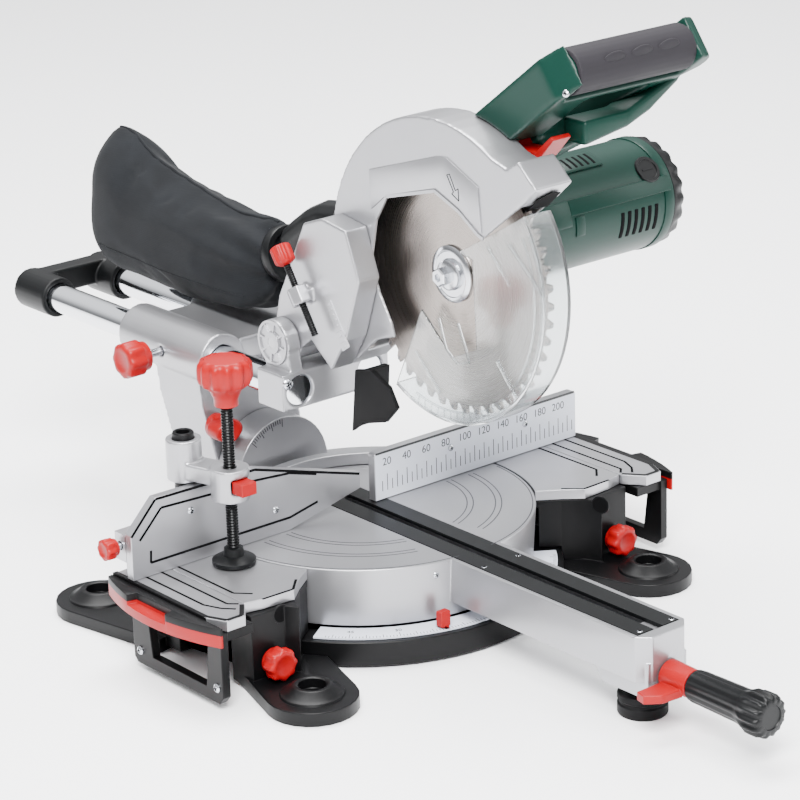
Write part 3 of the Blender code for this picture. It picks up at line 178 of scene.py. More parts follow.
# ------------------------------------------------------------------ base castings
# Die-cast aluminium ring and side supports, sprayed satin black, with the feet cast on.
# The coat has the fine grain of sprayed paint, and its cast corners are softly rounded.
def grained(name, colour, roughness, grain, depth, metallic=0.0, shade=0.06, **more):
    """A sprayed or moulded finish: grain of a width and depth in mm, and faint 36 mm clouds."""
    material, tree, shader = new_material(name, colour, roughness, metallic, **more)
    place = node(tree, "TexCoord")
    fine = node(tree, "TexNoise", Vector=(place, "Object"), Scale=1000 / grain, Detail=2.0)
    cloud = node(tree, "TexNoise", Vector=(place, "Object"), Scale=28.0, Detail=3.0)
    bump = node(tree, "Bump", Height=(fine, "Fac"), Strength=0.35, Distance=depth / 1000)
    tree.links.new(bump.outputs["Normal"], shader.inputs["Normal"])
    base = linear(colour)[:3]
    mix = node(tree, "Mix", {"data_type": "RGBA"}, Factor=(cloud, "Fac"),
               _6=(*[c * (1 - shade) for c in base], 1),
               _7=(*[min(1, c * (1 + shade)) for c in base], 1))
    tree.links.new(mix.outputs[2], shader.inputs["Base Color"])
    spread = node(tree, "MapRange", Value=(cloud, "Fac"), To_Min=roughness - 0.06,
                  To_Max=roughness + 0.06)
    tree.links.new(spread.outputs["Result"], shader.inputs["Roughness"])
    return material


def fitted(name, shape, material, body, slot, *replaced, smooth=40):
    """A finished piece that rides on a body, and stands for the nodes it replaces."""
    piece = standing(name, shape, material, smooth)
    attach(piece, body)
    if replaced:
        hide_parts(*replaced)
    return piece


def merged(name):
    """A copy of a CAD node's mesh with its loose triangles joined into flat faces."""
    shape = bmesh.new()
    shape.from_mesh(nodes[name].data)
    bmesh.ops.remove_doubles(shape, verts=shape.verts, dist=0.00002)
    bmesh.ops.dissolve_limit(shape, angle_limit=math.radians(0.6), verts=shape.verts,
                             edges=shape.edges)
    return shape


def softened(name, width, material, slot, segments=2):
    """Stands for a CAD node of that name with its corners rounded to a radius in mm."""
    piece = fitted(name + "_finished", merged(name), material, nodes[name]["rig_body"], slot, name,
                   smooth=35)
    if width:
        round_off = piece.modifiers.new("rounding", "BEVEL")
        round_off.width = width / 1000
        round_off.segments = segments
        round_off.limit_method = "ANGLE"
        round_off.angle_limit = math.radians(28)
        round_off.use_clamp_overlap = False
        round_off.harden_normals = True


def next_ring(shape, edges):
    """Extrudes a ring of edges where it stands: returns the new ring's corners and edges."""
    grown = bmesh.ops.extrude_edge_only(shape, edges=edges)["geom"]
    ring = [part for part in grown if isinstance(part, bmesh.types.BMVert)]
    corners = set(ring)
    return ring, [part for part in grown
                  if isinstance(part, bmesh.types.BMEdge) and corners.issuperset(part.verts)]


def turned(sections, steps=40, lobes=0):
    """A turned or fluted solid about Z in mm, from (radius, height, flute depth) sections."""
    shape = bmesh.new()
    bmesh.ops.create_circle(shape, segments=steps, radius=1)
    ring, edges = list(shape.verts), list(shape.edges)
    for index, (radius, height, *flute) in enumerate(sections):
        if index:
            ring, edges = next_ring(shape, edges)
        for corner in ring:
            angle = math.atan2(corner.co.y, corner.co.x)
            dent = flute[0] * (0.5 - 0.5 * math.cos(lobes * angle)) if flute else 0
            reach = max(radius - dent, 0.002)
            corner.co = (reach * math.cos(angle), reach * math.sin(angle), height)
    bmesh.ops.remove_doubles(shape, verts=shape.verts, dist=0.01)
    bmesh.ops.holes_fill(shape, edges=shape.edges, sides=0)
    bmesh.ops.recalc_face_normals(shape, faces=shape.faces)
    return shape


def placed(shape, centre, axis=(0, 0, 1), turn=0):
    """Takes a shape made in mm about Z to its centre on the saw, with Z along an axis."""
    facing = Vector(axis).to_track_quat("Z", "Y").to_matrix().to_4x4()
    spin = Matrix.Rotation(math.radians(turn), 4, "Z")
    to_metres = Matrix.Scale(0.001, 4)
    bmesh.ops.transform(shape, verts=shape.verts,
                        matrix=Matrix.Translation(at(*centre)) @ facing @ spin @ to_metres)
    return shape


def joined(*shapes, finishes=None):
    """One bmesh from several, each with the material number given for it."""
    whole = bmesh.new()
    for index, shape in enumerate(shapes):
        for face in shape.faces:
            face.material_index = finishes[index] if finishes else 0
        mesh = bpy.data.meshes.new("part")
        shape.to_mesh(mesh)
        shape.free()
        whole.from_mesh(mesh)
        bpy.data.meshes.remove(mesh)
    return whole


def ribbons(lines, width, thick, facing=(0, 0, 1)):
    """Low flat strips along (start, end) lines in mm, their thickness centred on the line."""
    whole = bmesh.new()
    for start, end in lines:
        start, end = at(*start), at(*end)
        along = end - start
        normal = Vector(facing)
        across = normal.cross(along).normalized()
        turn = Matrix((along.normalized(), across, normal)).transposed().to_4x4()
        size = Matrix.Diagonal((along.length, width / 1000, thick / 1000, 1))
        middle = Matrix.Translation((start + end) / 2)
        bmesh.ops.create_cube(whole, size=1, matrix=middle @ turn @ size)
    return whole


def chain(*points, z=None, y=None):
    """The lines that join points in turn, on a level plane or on an upright one."""
    full = [(*p, z) if z is not None else (p[0], y, p[1]) for p in points]
    return list(zip(full[:-1], full[1:]))


black_paint = grained("satin_black_paint", "#060607", 0.4, 1.2, 0.05, Specular_IOR_Level=0.18)
# Near-black painted shade, laid in grooves, slots, recesses and openings where the light does not
# reach.
shade_paint_black = grained("unlit_recess", "#040405", 0.9, 1.5, 0.02, Specular_IOR_Level=0.1)
for name in ("base_ring", "left_support", "right_support"):
    softened(name, 0.9, black_paint, "black_cast")
for name in ("left_extension_frame", "right_extension_frame", "clamp_post"):
    softened(name, 0.6, black_paint, "black_cast")

# Each foot's bolt hole has a raised boss; each bay's front has a blind port with a thin rim, its
# hollow drawn as a dark disc of painted shade.
foot_boss = [(10.3, 0), (24, 0), (23.2, 1.6), (20, 2.6), (15, 7.2), (14, 7.8), (11.4, 7.8),
             (10.3, 7), (10.3, 0)]
bosses = [placed(turned(foot_boss), (x, y, -59.3))
          for x, y in ((-167, -140), (167, -140), (-178, 112), (178, 112))]
fitted("foot_bosses", joined(*bosses), black_paint, "base", "black_cast")

port_rim = [(6.2, -0.5), (7.5, -0.5), (7.3, 0.15), (6.2, 0.15), (6.2, -0.5)]
port_shade_disc = [(6.2, -0.5), (6.2, 0.2)]
ports = []
for centre, facing in (((-158.7, -95.5, -14), (0, -1, 0)),
                       ((149.0, -104.6, -11.4), (-0.91, -0.42, 0))):
    ports += [placed(turned(sections), centre, facing) for sections in (port_rim, port_shade_disc)]
bay_ports = fitted("bay_ports", joined(*ports, finishes=(0, 1, 0, 1)), black_paint, "base",
                   "black_cast")
bay_ports.data.materials.append(shade_paint_black)

# ------------------------------------------------------------------ silver castings
# Turntable, fence bridge, tilting arm, carriage, head, blade guard and clamp arm are die-cast
# aluminium under metallic silver paint, which gives a soft highlight and rounded edges.
def moulded(name, voxel, rounds, material, slot):
    """Stands for a CAD node as one moulded skin: all its corners and joins are filleted."""
    piece = fitted(name + "_moulded", merged(name), material, nodes[name]["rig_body"], slot, name)
    skin = piece.modifiers.new("skin", "REMESH")
    skin.mode = "VOXEL"
    skin.voxel_size = voxel / 1000
    skin.use_smooth_shade = True
    fillet = piece.modifiers.new("fillet", "SMOOTH")
    fillet.factor = 0.5
    fillet.iterations = rounds


silver_paint = grained("silver_paint", "#A2A2A5", 0.34, 1.2, 0.06, metallic=0.8)
# A darker copy of the silver paint, for lines of painted shade on the turntable.
shade_paint_silver = grained("silver_in_relief", "#4A4A4E", 0.45, 1.2, 0.06, metallic=0.8)
for name, width in (("fence_bridge", 0.8), ("turntable", 0.9)):
    softened(name, width, silver_paint, "cast_silver")
for name, voxel, rounds in (("tilt_arm", 1.4, 4), ("front_bracket", 1.0, 4),
                            ("head_casting", 1.1, 4), ("upper_guard", 1.2, 5),
                            ("clamp_arm", 0.9, 5)):
    moulded(name, voxel, rounds, silver_paint, "cast_silver")


def sheeted(outline, low, high, side="X", round_off=0.5):
    """A flat plate square to an axis, from an outline and two levels in mm, edges rounded."""
    shape = bmesh.new()
    level = "XYZ".index(side)
    face = shape.faces.new([shape.verts.new(at(*p[:level], low, *p[level:])) for p in outline])
    grown = bmesh.ops.extrude_face_region(shape, geom=[face])["geom"]
    thick = Vector()
    thick[level] = (high - low) / 1000
    bmesh.ops.translate(shape, vec=thick,
                        verts=[part for part in grown if isinstance(part, bmesh.types.BMVert)])
    bmesh.ops.recalc_face_normals(shape, faces=shape.faces)
    if round_off:
        bmesh.ops.bevel(shape, geom=shape.edges, offset=round_off / 1000, segments=2,
                        profile=0.5, affect="EDGES", material=-1)
    return shape


# The guard's flank has a raised panel with an arrow for the blade's turn, and a lip round the
# window that the clear guard swings out of.
panel = sheeted([(-39.5, 280.2), (-116.2, 304.4), (-126.8, 305.5), (-160.5, 290.2),
                 (-163.4, 256.4), (-141.2, 269.8), (-115.2, 280.4), (-58.6, 264.2),
                 (-40.5, 250)], -19.3, -17.2, round_off=0.8)
arrow_outline = [(-131, 294), (-137, 283), (-140, 285), (-140.5, 276), (-133, 280),
                 (-135, 281.6), (-128, 293), (-131, 294)]
panel_face, guard_face = -19.4, -18.2
# The arrow's outline is drawn as a dark line of painted shade.
arrow = ribbons([((panel_face, *a), (panel_face, *b))
                 for a, b in zip(arrow_outline[:-1], arrow_outline[1:])], 0.5, 0.3, (-1, 0, 0))
guard_relief = fitted("guard_relief", joined(panel, arrow, finishes=(0, 1)), silver_paint, "head",
                      "cast_silver")
guard_relief.data.materials.append(shade_paint_black)
window = [(-165, 253), (-159, 255), (-139, 268), (-113, 278), (-58, 263), (-45, 243),
          (-37, 207), (-42, 190)]
lip = ribbons([((guard_face, *a), (guard_face, *b)) for a, b in zip(window[:-1], window[1:])],
              2.4, 1.6, (-1, 0, 0))
fitted("window_lip", lip, silver_paint, "head", "cast_silver")

# The spout's mouth is an unlit opening, drawn as a thin dark plate of painted shade laid on the
# spout's sloping end.
mouth = sheeted([(-9, 6), (11, 3), (11, 22), (1, 26), (-9, 19)], 0, 0.5, "Z", 0)
bmesh.ops.transform(mouth, verts=mouth.verts, matrix=Matrix.Translation(-at(0, 0, 0)))
across, slope = Vector((1, 0, 0)), Vector((0, -0.73, 0.68))
spout_end = Matrix.Translation(at(0, -197.5, 276.5)) @ Matrix(
    (across, slope, across.cross(slope))).transposed().to_4x4()
bmesh.ops.transform(mouth, verts=mouth.verts, matrix=spout_end)
bmesh.ops.translate(mouth, verts=mouth.verts, vec=Vector((0, -0.68, -0.73)) * 0.0004)
bmesh.ops.recalc_face_normals(mouth, faces=mouth.faces)
fitted("chip_mouth", mouth, shade_paint_black, "head", "black_plastic")

# Raised arcs on the turntable's two halves, where the casting's ribs meet the work, each with a
# line of painted shade along each foot and one more near the rim. Angles are in degrees about the
# turntable's centre; 270 is the arm.
arcs = []
for inner in (79, 101):
    for start, stop in ((183, 252), (288, 357)):
        arc = bmesh.new()
        angles = [math.radians(a) for a in (start, stop)]
        section = ((inner, -0.6), (inner + 0.3, 0.15), (inner + 1.9, 0.15), (inner + 2.2, -0.6))
        rim = [Vector((r * math.cos(angles[0]), r * math.sin(angles[0]), z)) for r, z in section]
        face = arc.faces.new([arc.verts.new(p) for p in rim])
        bmesh.ops.spin(arc, geom=[face], cent=(0, 0, 0), axis=(0, 0, 1),
                       angle=angles[1] - angles[0], steps=24, use_merge=False,
                       use_duplicate=False)
        bmesh.ops.recalc_face_normals(arc, faces=arc.faces)
        arcs.append(placed(arc, (0, 0, 0)))
fitted("turntable_arcs", joined(*arcs), silver_paint, "turntable", "cast_silver")
# Lines of painted shade along the arcs' feet and near the rim.
shade_lines = []
for radius in (77.6, 82.4, 99.6, 104.4, 128.4):
    beside_arm = 18 if radius < 120 else 7
    for start, stop in ((183, 270 - beside_arm), (270 + beside_arm, 357)):
        swing = [math.radians(start + (stop - start) * k / 40) for k in range(41)]
        shade_lines += chain(*[(radius * math.cos(a), radius * math.sin(a)) for a in swing], z=0)
fitted("turntable_relief", ribbons(shade_lines, 0.9, 0.16), shade_paint_silver, "turntable",
       "cast_silver")

# The head's hinge ends in a cast boss with eight ribs.
hinge_y, hinge_z = 42, 135
boss = placed(turned([(17.6, 0), (17.6, 1.6), (15.6, 1.6), (15.2, 0.3), (9, 0.3), (8.6, 2.2),
                      (4.2, 2.2), (4.2, 0)]), (-52, hinge_y, hinge_z), (-1, 0, 0))
spokes = ribbons([[(-52.8, hinge_y + reach * math.cos(a), hinge_z + reach * math.sin(a))
                   for reach in (8.4, 15.6)]
                  for a in (math.radians(45 * k + 10) for k in range(8))], 1.5, 1.5, (-1, 0, 0))
fitted("pivot_boss", joined(boss, spokes), silver_paint, "carriage", "cast_silver", smooth=30)

# The depth scale is cast on the head's flank beside the stop screw, with a rib at each step.
scale_top, scale_end = Vector((-39.2, -10, 176)), Vector((-39.2, -31, 144))
scale_plate = ribbons([(scale_top, scale_end)], 9.5, 0.9, (-1, 0, 0))
level_step, proud = Vector((0, 32, -21)).normalized(), Vector((-0.6, 0, 0))
steps = []
for step in range(9):
    spot = scale_top.lerp(scale_end, (step + 0.5) / 9)
    across = level_step * (3.6 if step % 2 else 2.2)
    steps.append((spot - across + proud, spot + across + proud))
fitted("depth_scale", joined(scale_plate, ribbons(steps, 1.1, 0.8, (-1, 0, 0))), silver_paint,
       "head", "cast_silver")

# ------------------------------------------------------------------ screws
# Zinc-plated cross-head screws with low pan heads, in the castings, the fences, the arm's
# inserts and the extension frames. Plating gives a bright, slightly blue steel.
def screw_heads(name, places, body, head, facing=(0, 0, 1)):
    """Screw heads of one body: each a low dome, its cross recess drawn as a dark cross of painted
    shade.
    """
    parts = []
    for centre in places:
        dome = [(head, 0), (head, head * 0.25), (head * 0.75, head * 0.5), (0, head * 0.62)]
        cross = bmesh.new()
        for turn in (0, 90):
            bmesh.ops.create_cube(cross, size=1, matrix=Matrix.Translation((0, 0, head * 0.5))
                                  @ Matrix.Rotation(math.radians(turn), 4, "Z")
                                  @ Matrix.Diagonal((head * 1.05, head * 0.24, head * 0.3, 1)))
        parts += [placed(shape, centre, facing, 20) for shape in (turned(dome, 24), cross)]
    piece = fitted(name, joined(*parts, finishes=[0, 1] * len(places)), zinc, body, "steel")
    piece.data.materials.append(shade_paint_black)


zinc = grained("zinc_plate", "#C4C7CC", 0.25, 0.8, 0.01, metallic=1.0)
screw_heads("arm_screws", [(-16.4, -156.3, -1.2), (16.4, -157, -1.2), (-14.2, -318, -1.2),
                           (16.4, -318, -1.2)], "turntable", 2.6)
for side, word in ((-1, "left"), (1, "right")):
    screw_heads("frame_bolts_" + word, [(side * 221, -4.8, -52.9), (side * 221, -99.6, -51.4)],
                word + "_extension", 3.4, (side, 0, 0))
screw_heads("column_screw", [(-36.6, -125.0, -10.1)], "turntable", 2.4, (-0.26, -0.96, 0))
screw_heads("bracket_screw", [(-57.3, 19.8, 108)], "carriage", 4.2, (-0.2, -1, 0))
screw_heads("right_fence_screws", [(86, -0.2, 25), (165, -0.2, 25)], "base", 2.7, (0, -1, 0))
screw_heads("left_fence_screws", [(-166, 0.3, 41), (-88, 0.3, 20)], "left_fence", 2.8,
            (0, -1, 0))

# ------------------------------------------------------------------ machined plates
# Side tables, extensions and both fences are aluminium castings with a milled face: bright,
# with fine straight cutter lines across the face.
machined, tree, shader = new_material("milled_aluminium", "#A9A9AC", 0.3, 0.85)
place = node(tree, "TexCoord")
# Cutter lines 0.4 mm apart.
stretch = node(tree, "Mapping", Vector=(place, "Object"), Scale=(60, 2500, 60))
lines = node(tree, "TexNoise", Vector=(stretch, "Vector"), Scale=1.0, Detail=2.0)
cloud = node(tree, "TexNoise", Vector=(place, "Object"), Scale=14.0, Detail=3.0)
shine = node(tree, "MapRange", Value=(lines, "Fac"), To_Min=0.24, To_Max=0.44)
tree.links.new(shine.outputs["Result"], shader.inputs["Roughness"])
groove = node(tree, "Bump", Height=(lines, "Fac"), Strength=0.3, Distance=0.00002)
tree.links.new(groove.outputs["Normal"], shader.inputs["Normal"])
tone = node(tree, "Mix", {"data_type": "RGBA"}, Factor=(cloud, "Fac"), _6=linear("#98989C"),
            _7=linear("#B8B8BB"))
tree.links.new(tone.outputs[2], shader.inputs["Base Color"])
for name in ("left_table", "right_table", "left_extension_top", "right_extension_top",
             "left_fence", "right_fence"):
    softened(name, 0.5, machined, "machined_plate")

# Grooves cast into the tables and the left fence are drawn as dark strips of painted shade, and the
# fences' top edges carry a black line, the left one in the same painted-shade black.
for side, body in ((-1, "left_extension"), (1, "right_extension")):
    groove_shade = chain((side * 208.5, 21), (side * 208.5, -70), (side * 203, -84), (side * 196, -92), z=0)
    groove_shade += chain((side * 195, 21), (side * 195, -80), (side * 189, -86), z=0)
    fitted(body + "_grooves", ribbons(groove_shade, 2.0, 0.3), shade_paint_black, body, "black_plastic")
    border = chain((side * 219.4, 25), (side * 219.4, -88), (side * 212.5, -103.6),
                   (side * 199.6, -103.6), (side * 188, -88.4), z=0)
    flank = [((side * 221.1, 25.8, -4), (side * 221.1, -90, -4))]
    border = joined(ribbons(border, 3.4, 0.3), ribbons(flank, 7.6, 0.3, (side, 0, 0)))
    fitted(body + "_border", border, black_paint, body, "black_cast")
    groove_shade = chain((side * 180, 14), (side * 180, -67.6), (side * 170.4, -78.2), z=0)
    groove_shade += chain((side * 171.5, -91), (side * 143.8, -91.6), (side * 131.4, -79), z=0)
    table_grooves = body.split("_")[0] + "_table_grooves"
    fitted(table_grooves, ribbons(groove_shade, 2.0, 0.3), shade_paint_black, "base", "black_plastic")

inlay = chain((-213, 30), (-204.7, 38.3), (-192.6, 50.6), (-140.5, 48.6), (-109.6, 49), (-73.6, 46),
              (-48.2, 38.5), y=0)
inlay += chain((-203.6, 19.8), (-204.2, 10.4), (-75, 10.4), (-48, 16), y=0)
fence_lines = ribbons(inlay, 1.9, 0.3, (0, -1, 0))
edge = ribbons(chain((-220.2, 34.4), (-197.2, 58.4), (-106, 57.3), (-6.5, 27.6), y=0), 2.0, 0.3,
               (0, -1, 0))
fitted("left_fence_lines", joined(fence_lines, edge), shade_paint_black, "left_fence", "black_plastic")

# The right fence's face carries a ruler printed in black over a pale blue-white enamel strip:
# a number every 20 mm, and a tick every 5 mm, as finer ones are too close to show.
ruler_white = grained("ruler_enamel", "#CFD3DE", 0.4, 1.5, 0.01)
ink = grained("printing_ink", "#17181B", 0.5, 1.5, 0.01)
strip = bmesh.new()
bmesh.ops.create_cube(strip, size=1, matrix=Matrix.Translation(at(114.5, 0, 19.2))
                      @ Matrix.Diagonal((0.2105, 0.0003, 0.037, 1)))
fitted("ruler_strip", strip, ruler_white, "base", "scale_white")
ticks = []
for mark in range(15, 216, 5):
    tall = 13.5 if mark % 10 == 0 else 8.5
    ticks.append(((mark + 1, -0.1, 7), (mark + 1, -0.1, 7 + tall)))
ticks_shape = ribbons(ticks, 0.7, 0.25, (0, -1, 0))
edge = ribbons(chain((10, 38.8), (219, 38.8), y=0), 1.8, 0.4, (0, -1, 0))


def solid_of(curve):
    """The solid that a curve or text makes, as a bmesh; the curve itself is removed."""
    maker = bpy.data.objects.new(curve.name, curve)
    bpy.context.scene.collection.objects.link(maker)
    graph = bpy.context.evaluated_depsgraph_get()
    mesh = bpy.data.meshes.new_from_object(maker.evaluated_get(graph))
    shape = bmesh.new()
    shape.from_mesh(mesh)
    bpy.data.objects.remove(maker)
    bpy.data.curves.remove(curve)
    bpy.data.meshes.remove(mesh)
    return shape


def figures(word, size, centre, x_axis, y_axis):
    """Printed figures as a thin solid, centred on a point in mm, their size in mm."""
    curve = bpy.data.curves.new("figures", "FONT")
    curve.body, curve.size, curve.extrude = word, size, 0.06
    curve.align_x = curve.align_y = "CENTER"
    shape = solid_of(curve)
    x_axis, y_axis = Vector(x_axis).normalized(), Vector(y_axis).normalized()
    turn = Matrix((x_axis, y_axis, x_axis.cross(y_axis))).transposed().to_4x4()
    bmesh.ops.transform(shape, verts=shape.verts,
                        matrix=Matrix.Translation(at(*centre)) @ turn @ Matrix.Scale(0.001, 4))
    return shape


numbers = [figures(str(mark), 9.0, (mark + 1, -0.15, 30.6), (1, 0, 0), (0, 0, 1))
           for mark in range(20, 201, 20)]
fitted("ruler_print", joined(ticks_shape, edge, *numbers), ink, "base", "scale_white")

# ------------------------------------------------------------------ degree scale
# White enamelled steel strip let into the ring, printed with a tick at each degree and a
# number every 15, and a second one for the bevel on the turntable's quadrant.
softened("degree_scale", 0, ruler_white, "scale_white")
strip_level, tick_end = -47.5, 146.4
ticks, numbers = [], []
for degree in range(-52, 53):
    angle = math.radians(degree - 90)
    inner = 143.6 - (2.4 if degree % 5 == 0 else 0) - (1.8 if degree % 15 == 0 else 0)
    ticks.append([(reach * math.cos(angle), reach * math.sin(angle), strip_level)
                  for reach in (inner, tick_end)])
    if degree % 15 == 0:
        out = (math.cos(angle), math.sin(angle), 0)
        numbers.append(figures(str(abs(degree)), 5.5, (135.5 * out[0], 135.5 * out[1], -47.4),
                               (-out[1], out[0], 0), (-out[0], -out[1], 0)))
fitted("degree_print", joined(ribbons(ticks, 0.5, 0.2), *numbers), ink, "base", "scale_white")
bevel_scale_y = 104.9
quadrant = []
for degree in range(0, 47, 3):
    angle = math.radians(90 + degree)
    inner = 37 if degree % 15 == 0 else 40
    quadrant.append([(reach * math.cos(angle), bevel_scale_y, reach * math.sin(angle))
                     for reach in (inner, 43.6)])
fitted("bevel_print", ribbons(quadrant, 0.6, 0.3, (0, -1, 0)), ink, "turntable", "scale_white")

# ------------------------------------------------------------------ red knobs and levers
# Glossy red ABS, injection moulded: fluted knobs on screw stems, the extension ends, the
# bevel lock and the lock-off lever. Moulding leaves a smooth skin with a slight orange peel.
red_abs = grained("red_abs", "#8C060B", 0.36, 0.9, 0.02, shade=0.04, Specular_IOR_Level=0.2)
for name in ("mitre_pointer", "detent_lever", "clamp_release", "lock_lever"):
    softened(name, 0.8, red_abs, "red_plastic")
for word in ("left", "right"):
    end = merged(word + "_extension_rim")
    split = at(0, 0, -7.5)
    bmesh.ops.bisect_plane(end, geom=[*end.verts, *end.edges, *end.faces], plane_co=split,
                           plane_no=(0, 0, 1))
    for face in end.faces:
        face.material_index = int(face.calc_center_median().z > split.z)
    piece = fitted(word + "_rim_two_tone", end, red_abs, word + "_extension", "red_plastic",
                   word + "_extension_rim")
    piece.data.materials.append(black_paint)
    round_off = piece.modifiers.new("rounding", "BEVEL")
    round_off.width, round_off.segments, round_off.limit_method = 0.0008, 2, "ANGLE"


def fluted_knob(name, centre, axis, radius, length, lobes, flute, stem, reach):
    """A moulded knob with flutes round it, on its steel-coloured stem."""
    knob = turned([(stem, 0.2), (radius * 0.78, 0.2), (radius * 0.8, length * 0.18),
                   (radius * 0.97, length * 0.3, flute), (radius, length * 0.36, flute),
                   (radius, length * 0.82, flute), (radius * 0.95, length * 0.93, flute * 0.9),
                   (radius * 0.84, length * 0.985, flute * 0.5), (radius * 0.7, length),
                   (radius * 0.55, length), (radius * 0.5, length - 0.5), (0, length - 0.5)],
                  64, lobes)
    shaft = turned([(0, -reach), (stem, -reach), (stem, 0.5), (0, 0.5)], 20)
    piece = fitted(name + "_fluted", placed(joined(knob, shaft, finishes=(0, 1)), centre, axis),
                   red_abs, nodes[name]["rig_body"], "red_plastic", name, smooth=50)
    piece.data.materials.append(zinc)


for side, word in ((-1, "left"), (1, "right")):
    fluted_knob(word + "_extension_knob", (side * 170, -98, -46), (0, -1, 0), 12.7, 15, 8, 1.9,
                4.4, 23)
fluted_knob("fence_knob", (-224.5, 15.5, 24), (-1, 0, 0), 8.5, 11, 8, 1.3, 2.7, 12)
fluted_knob("bevel_knob", (-47.5, 130, 44), (0, -1, 0), 13.1, 21, 2, 5.2, 2.9, 17.8)
fluted_knob("rail_knob", (-82, 172.5, 100), (-1, 0, 0), 15, 22, 8, 1.6, 3.3, 22.8)

# ------------------------------------------------------------------ material clamp
# Black steel screw with a rolled thread, a red fluted hand knob on a conical collar, and a
# swivel pad; the cast arm holds a split nut with a red push release.
black_steel = grained("blackened_steel", "#08090A", 0.32, 0.8, 0.02, metallic=0.7)


def threaded(low, high, radius, pitch, depth):
    """Sections of a rod with rings for its thread, drawn coarser than real so that they show."""
    rings = [(0, low), (radius - depth, low)]
    for turn in range(int((high - low) / pitch) - 1):
        rings += [(radius, low + pitch * (turn + 0.5)), (radius - depth, low + pitch * (turn + 1))]
    return rings + [(radius - depth, high), (0, high)]


clamp_axis = (-146, -23.5, 0)
thread = placed(turned(threaded(9.0, 137, 4.7, 2.2, 0.6), 20), clamp_axis)
knob = turned([(5.5, 124), (9, 125), (9, 130), (12, 137), (16.5, 140.5), (19.6, 142.5, 2.2),
               (20.7, 146, 2.6), (20.7, 153.5, 2.6), (20, 157, 2.4), (18.2, 159.4, 1.6),
               (15.3, 160.5, 0.4), (14.8, 159.9), (10, 160.8), (0, 161.2)], 96, 12)
piece = fitted("clamp_screw_turned", joined(thread, placed(knob, clamp_axis), finishes=(0, 1)),
               black_steel, "clamp_screw", "red_plastic", "clamp_screw", smooth=50)
piece.data.materials.append(red_abs)
black_nylon = grained("black_nylon", "#060708", 0.4, 0.9, 0.03, Specular_IOR_Level=0.2)
pad = turned([(0, 0.9), (15.6, 0.9), (16.4, 1.8), (16.4, 4.4), (14.5, 5.6), (8, 7.5), (7, 13.4),
              (5, 14), (0, 14)], 48)
fitted("clamp_pad_turned", placed(pad, clamp_axis), black_nylon, "clamp_screw", "black_plastic",
       "clamp_pad")
top_ring = turned([(5.2, 93.5), (8.2, 93.5), (8.2, 96), (7.4, 96.8), (5.8, 96.8), (5.2, 96.2),
                   (5.2, 93.5)], 32)
fitted("post_ring", placed(top_ring, (-157.5, 17.2, 0)), black_paint, "clamp", "black_cast")

# ------------------------------------------------------------------ mitre handle
# Black nylon grip with ribs along it and a lobed end, on the arm's nose. With it come the
# black inserts beside the kerf and the ribbed rubber foot that the nose rests on.
grip = turned([(0, -98.2), (8.6, -98.2), (9, -98.9), (12.6, -98.8), (15.2, -97.5, 2),
               (16.4, -94, 2.6), (16.4, -86, 2.6), (16.2, -83, 2.4), (13.8, -78, 0.2),
               (13.2, -76, 0.2), (12.7, -72, 1.0), (12.0, -30, 1.0), (11.4, -27), (5.6, -26.4),
               (5.4, -26), (5.4, 26)], 112, 14)
fitted("mitre_grip_ribbed", placed(grip, (0, -332, -32), (0, 1, 0)), black_nylon, "mitre_grip",
       "black_plastic", "mitre_grip", smooth=50)
for name in ("left_insert", "right_insert"):
    softened(name, 0.4, black_nylon, "black_plastic")
black_rubber = grained("black_rubber", "#050506", 0.6, 0.9, 0.04, Specular_IOR_Level=0.15)
foot_low = (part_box("arm_foot")[0].z - table_top) * 1000
pad = turned([(0, foot_low), (17.6, foot_low), (18.3, foot_low + 1.2), (18.3, -62), (17, -61),
              (17, -59), (18.3, -58), (18.3, -54.6), (17.6, -53.6), (5.4, -53.6), (5.4, -41.6),
              (0, -41.6)], 48)
fitted("arm_foot_turned", placed(pad, (0, -306, 0)), black_rubber, "arm_foot", "black_rubber",
       "arm_foot")

# ------------------------------------------------------------------ rails and depth stop
# Two hard-chromed steel tubes, ground and polished, closed by black nylon at the rear, and a
# black threaded rod with a red fluted head that sets the depth of cut.
chrome, tree, shader = new_material("hard_chrome", "#E6E8EC", 0.07, 1.0)
place = node(tree, "TexCoord")
ground = node(tree, "Mapping", Vector=(place, "Object"), Scale=(900, 6, 900))
streak = node(tree, "TexNoise", Vector=(ground, "Vector"), Scale=1.0, Detail=2.0)
shine = node(tree, "MapRange", Value=(streak, "Fac"), To_Min=0.04, To_Max=0.14)
tree.links.new(shine.outputs["Result"], shader.inputs["Roughness"])
for name in ("left_rail", "right_rail"):
    softened(name, 0.5, chrome, "chrome")
moulded("rear_yoke", 1.1, 5, black_nylon, "black_plastic")
stop_top, stop_end = Vector((-48.5, 26, 200)), Vector((-48.5, -6, 151))
stop_axis = (stop_top - stop_end).normalized()
stop_length = (stop_top - stop_end).length
stop_thread = turned(threaded(0, stop_length + 1, 2.9, 1.8, 0.5), 18)
stop_knob = turned([(2.5, stop_length - 1), (5.4, stop_length), (7.6, stop_length + 1.5, 1.1),
                    (8.1, stop_length + 3, 1.3), (8.1, stop_length + 13, 1.3),
                    (7.4, stop_length + 14.6, 0.8), (5.6, stop_length + 15.2),
                    (0, stop_length + 15.2)], 60, 10)
piece = fitted("depth_stop_fluted", placed(joined(stop_thread, stop_knob, finishes=(0, 1)),
                                           stop_end, stop_axis),
               black_steel, "depth_stop", "red_plastic", "depth_stop", smooth=50)
piece.data.materials.append(red_abs)

